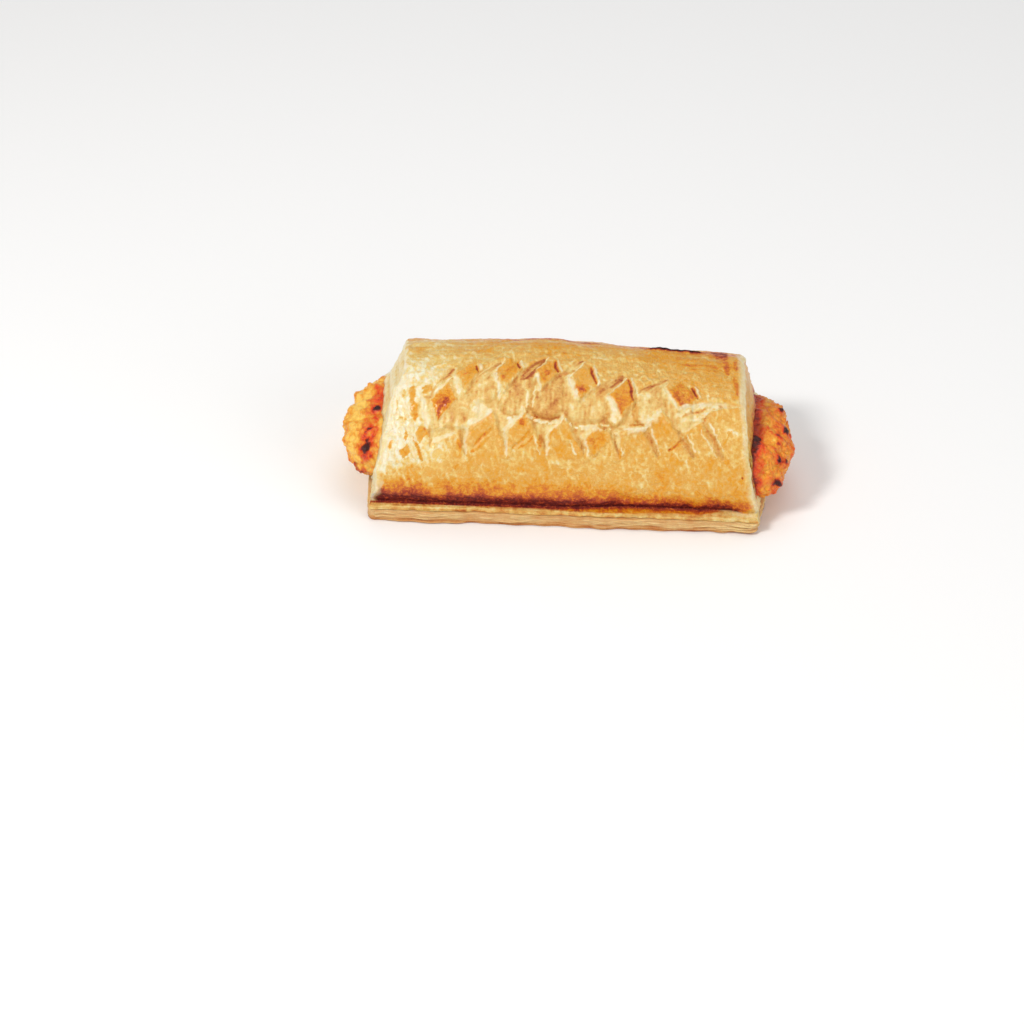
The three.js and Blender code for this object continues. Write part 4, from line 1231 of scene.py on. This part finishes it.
# %% [markdown]
# ### Roasted mince
# The meat is moist and spiced: yellow grains, orange between them, red juices at one rim and nearly black
# burnt bits. Yellower tops and redder creases of the grains are partly painted highlight and painted shade,
# and the meat next to the right rim gets painted shade. The colour number of the mesh picks from one ramp,
# and the burnt bits and that rim shade first redden it and then darken it, because a plain mix of orange and
# black would look olive.

# %% Meat finish
MEAT_STOPS = [
    (0.0, 254, 206, 96), (0.25, 242, 164, 50), (0.5, 232, 114, 30), (0.7, 234, 72, 14), (0.85, 176, 50, 18),
    (1.0, 100, 28, 18),
]
BURNT_AND_SHADE_MEAT = srgb(50, 9, 12)


def meat_finish():
    """Roasted mince: grains from yellow to red-brown, redder between them, burnt bits and painted shade from
    the mesh.
    """
    material, tree, shader = new_material("roasted_mince")
    moved, normal = grained(tree, 420.0, 1300.0, 0.5, 0.8)
    burnt_and_shade = attribute(tree, "burnt_and_shade")
    flesh = maths(tree, "ADD", moved, attribute(tree, "crevice"))
    flesh = ramp(tree, maths(tree, "ADD", flesh, maths(tree, "MULTIPLY", burnt_and_shade, 0.65)), MEAT_STOPS)
    fill_inputs(tree, shader, {
        "Base Color": mixed(tree, maths(tree, "MULTIPLY", burnt_and_shade, burnt_and_shade), flesh, BURNT_AND_SHADE_MEAT),
        "Roughness": 0.32,
        "Specular IOR Level": 0.3,
        "Coat Weight": 0.12,
        "Coat Roughness": 0.2,
        "Normal": normal,
    })
    return material


meat.data.materials.append(meat_finish())
print("finish of the meat", meat.data.materials[0].name)

# %% [markdown]
# ## Tying the pieces to the frame
# The roll has one body. Each fine piece stands for the solid of the same part, so that solid isn't shown.

# %% Ride and replace
for piece, node, slot in ((crust, "pastry_cover", "crust"), (base, "pastry_base", "base_pastry"),
                          (meat, "sausage_filling", "filling")):
    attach(piece, "root")
    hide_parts(node)
    print(piece.name, "stands for", node)

# %% [markdown]
# ## Stage, light and camera
# The picture is a bright studio shot on white: a large soft key from the upper left, a weaker fill from
# the right and a pale floor that throws light back up. The camera looks down at 36 degrees, a little from
# the right, through a long lens. Its place comes from where the middle of the roll's underside lies in the
# picture.

# %% Floor and light
FLOOR_HALF = 3.0
FLOOR_Z = -0.0003
ROLL_MIDDLE = np.array([0, 0, 0.02])

floor_mesh = bpy.data.meshes.new("floor")
floor_corners = [(x_sign * FLOOR_HALF, y_sign * FLOOR_HALF, FLOOR_Z) for x_sign, y_sign in
                 ((-1, -1), (1, -1), (1, 1), (-1, 1))]
floor_mesh.from_pydata(floor_corners, [], [(0, 1, 2, 3)])
floor = bpy.data.objects.new("floor", floor_mesh)
bpy.context.collection.objects.link(floor)
floor_material, floor_tree, floor_shader = new_material("pale_floor")
fill_inputs(floor_tree, floor_shader, {"Base Color": srgb(253, 253, 253), "Roughness": 0.6})
floor_mesh.materials.append(floor_material)


def aimed(place, right, back):
    """Matrix of a lamp or camera at a place: x to its right, z back along the line that it looks down."""
    axes = np.stack([right, np.cross(back, right), back], -1)
    return Matrix.Translation(place) @ Matrix(axes.tolist()).to_4x4()


def soft_light(name, place, size, power, colour=(1, 1, 1)):
    """Square area light, its face turned towards the middle of the roll."""
    light = bpy.data.lights.new(name, "AREA")
    light.size = size
    light.energy = power
    light.color = colour
    lamp = bpy.data.objects.new(name, light)
    back = np.array(place) - ROLL_MIDDLE
    back = back / np.linalg.norm(back)
    right = np.cross([0, 0, 1], back)
    lamp.matrix_world = aimed(place, right / np.linalg.norm(right), back)
    bpy.context.collection.objects.link(lamp)


soft_light("key", (-0.6, -0.55, 0.9), 0.26, 7.7, (1, 0.98, 0.95))
soft_light("fill", (0.9, -0.65, 0.5), 0.8, 4.2)
soft_light("top", (0.1, 0.4, 1.1), 0.9, 3.3)
world = bpy.data.worlds.new("studio")
world.use_nodes = True
fill_inputs(world.node_tree, world.node_tree.nodes["Background"], {"Color": (1, 1, 1, 1), "Strength": 0.36})
bpy.context.scene.world = world
bpy.context.scene.view_settings.view_transform = "Standard"
print("lights", [thing.name for thing in bpy.data.lights])

# %% Camera
PICTURE = 1024
FOCAL_PIXELS = 2700
SENSOR = 36
ELEVATION = np.radians(36)
AZIMUTH = np.radians(3.6)
PIXELS_PER_MM = 2.8
MIDDLE_PIXEL = np.array([568, 467.5])

distance = FOCAL_PIXELS / PIXELS_PER_MM * MM
level = np.cos(ELEVATION)
back = np.array([np.sin(AZIMUTH) * level, -np.cos(AZIMUTH) * level, np.sin(ELEVATION)])
right = np.array([np.cos(AZIMUTH), np.sin(AZIMUTH), 0])
aside = (MIDDLE_PIXEL - PICTURE / 2) / FOCAL_PIXELS * distance
place = back * distance - right * aside[0] + np.cross(back, right) * aside[1]
camera_data = bpy.data.cameras.new("photo_view")
camera_data.sensor_width = SENSOR
camera_data.lens = FOCAL_PIXELS / PICTURE * SENSOR
camera_data.clip_end = 20
camera = bpy.data.objects.new("photo_view", camera_data)
camera.matrix_world = aimed(place.tolist(), right, back)
bpy.context.collection.objects.link(camera)
bpy.context.scene.camera = camera
print("camera at", place.round(3), "lens", round(camera_data.lens, 1))
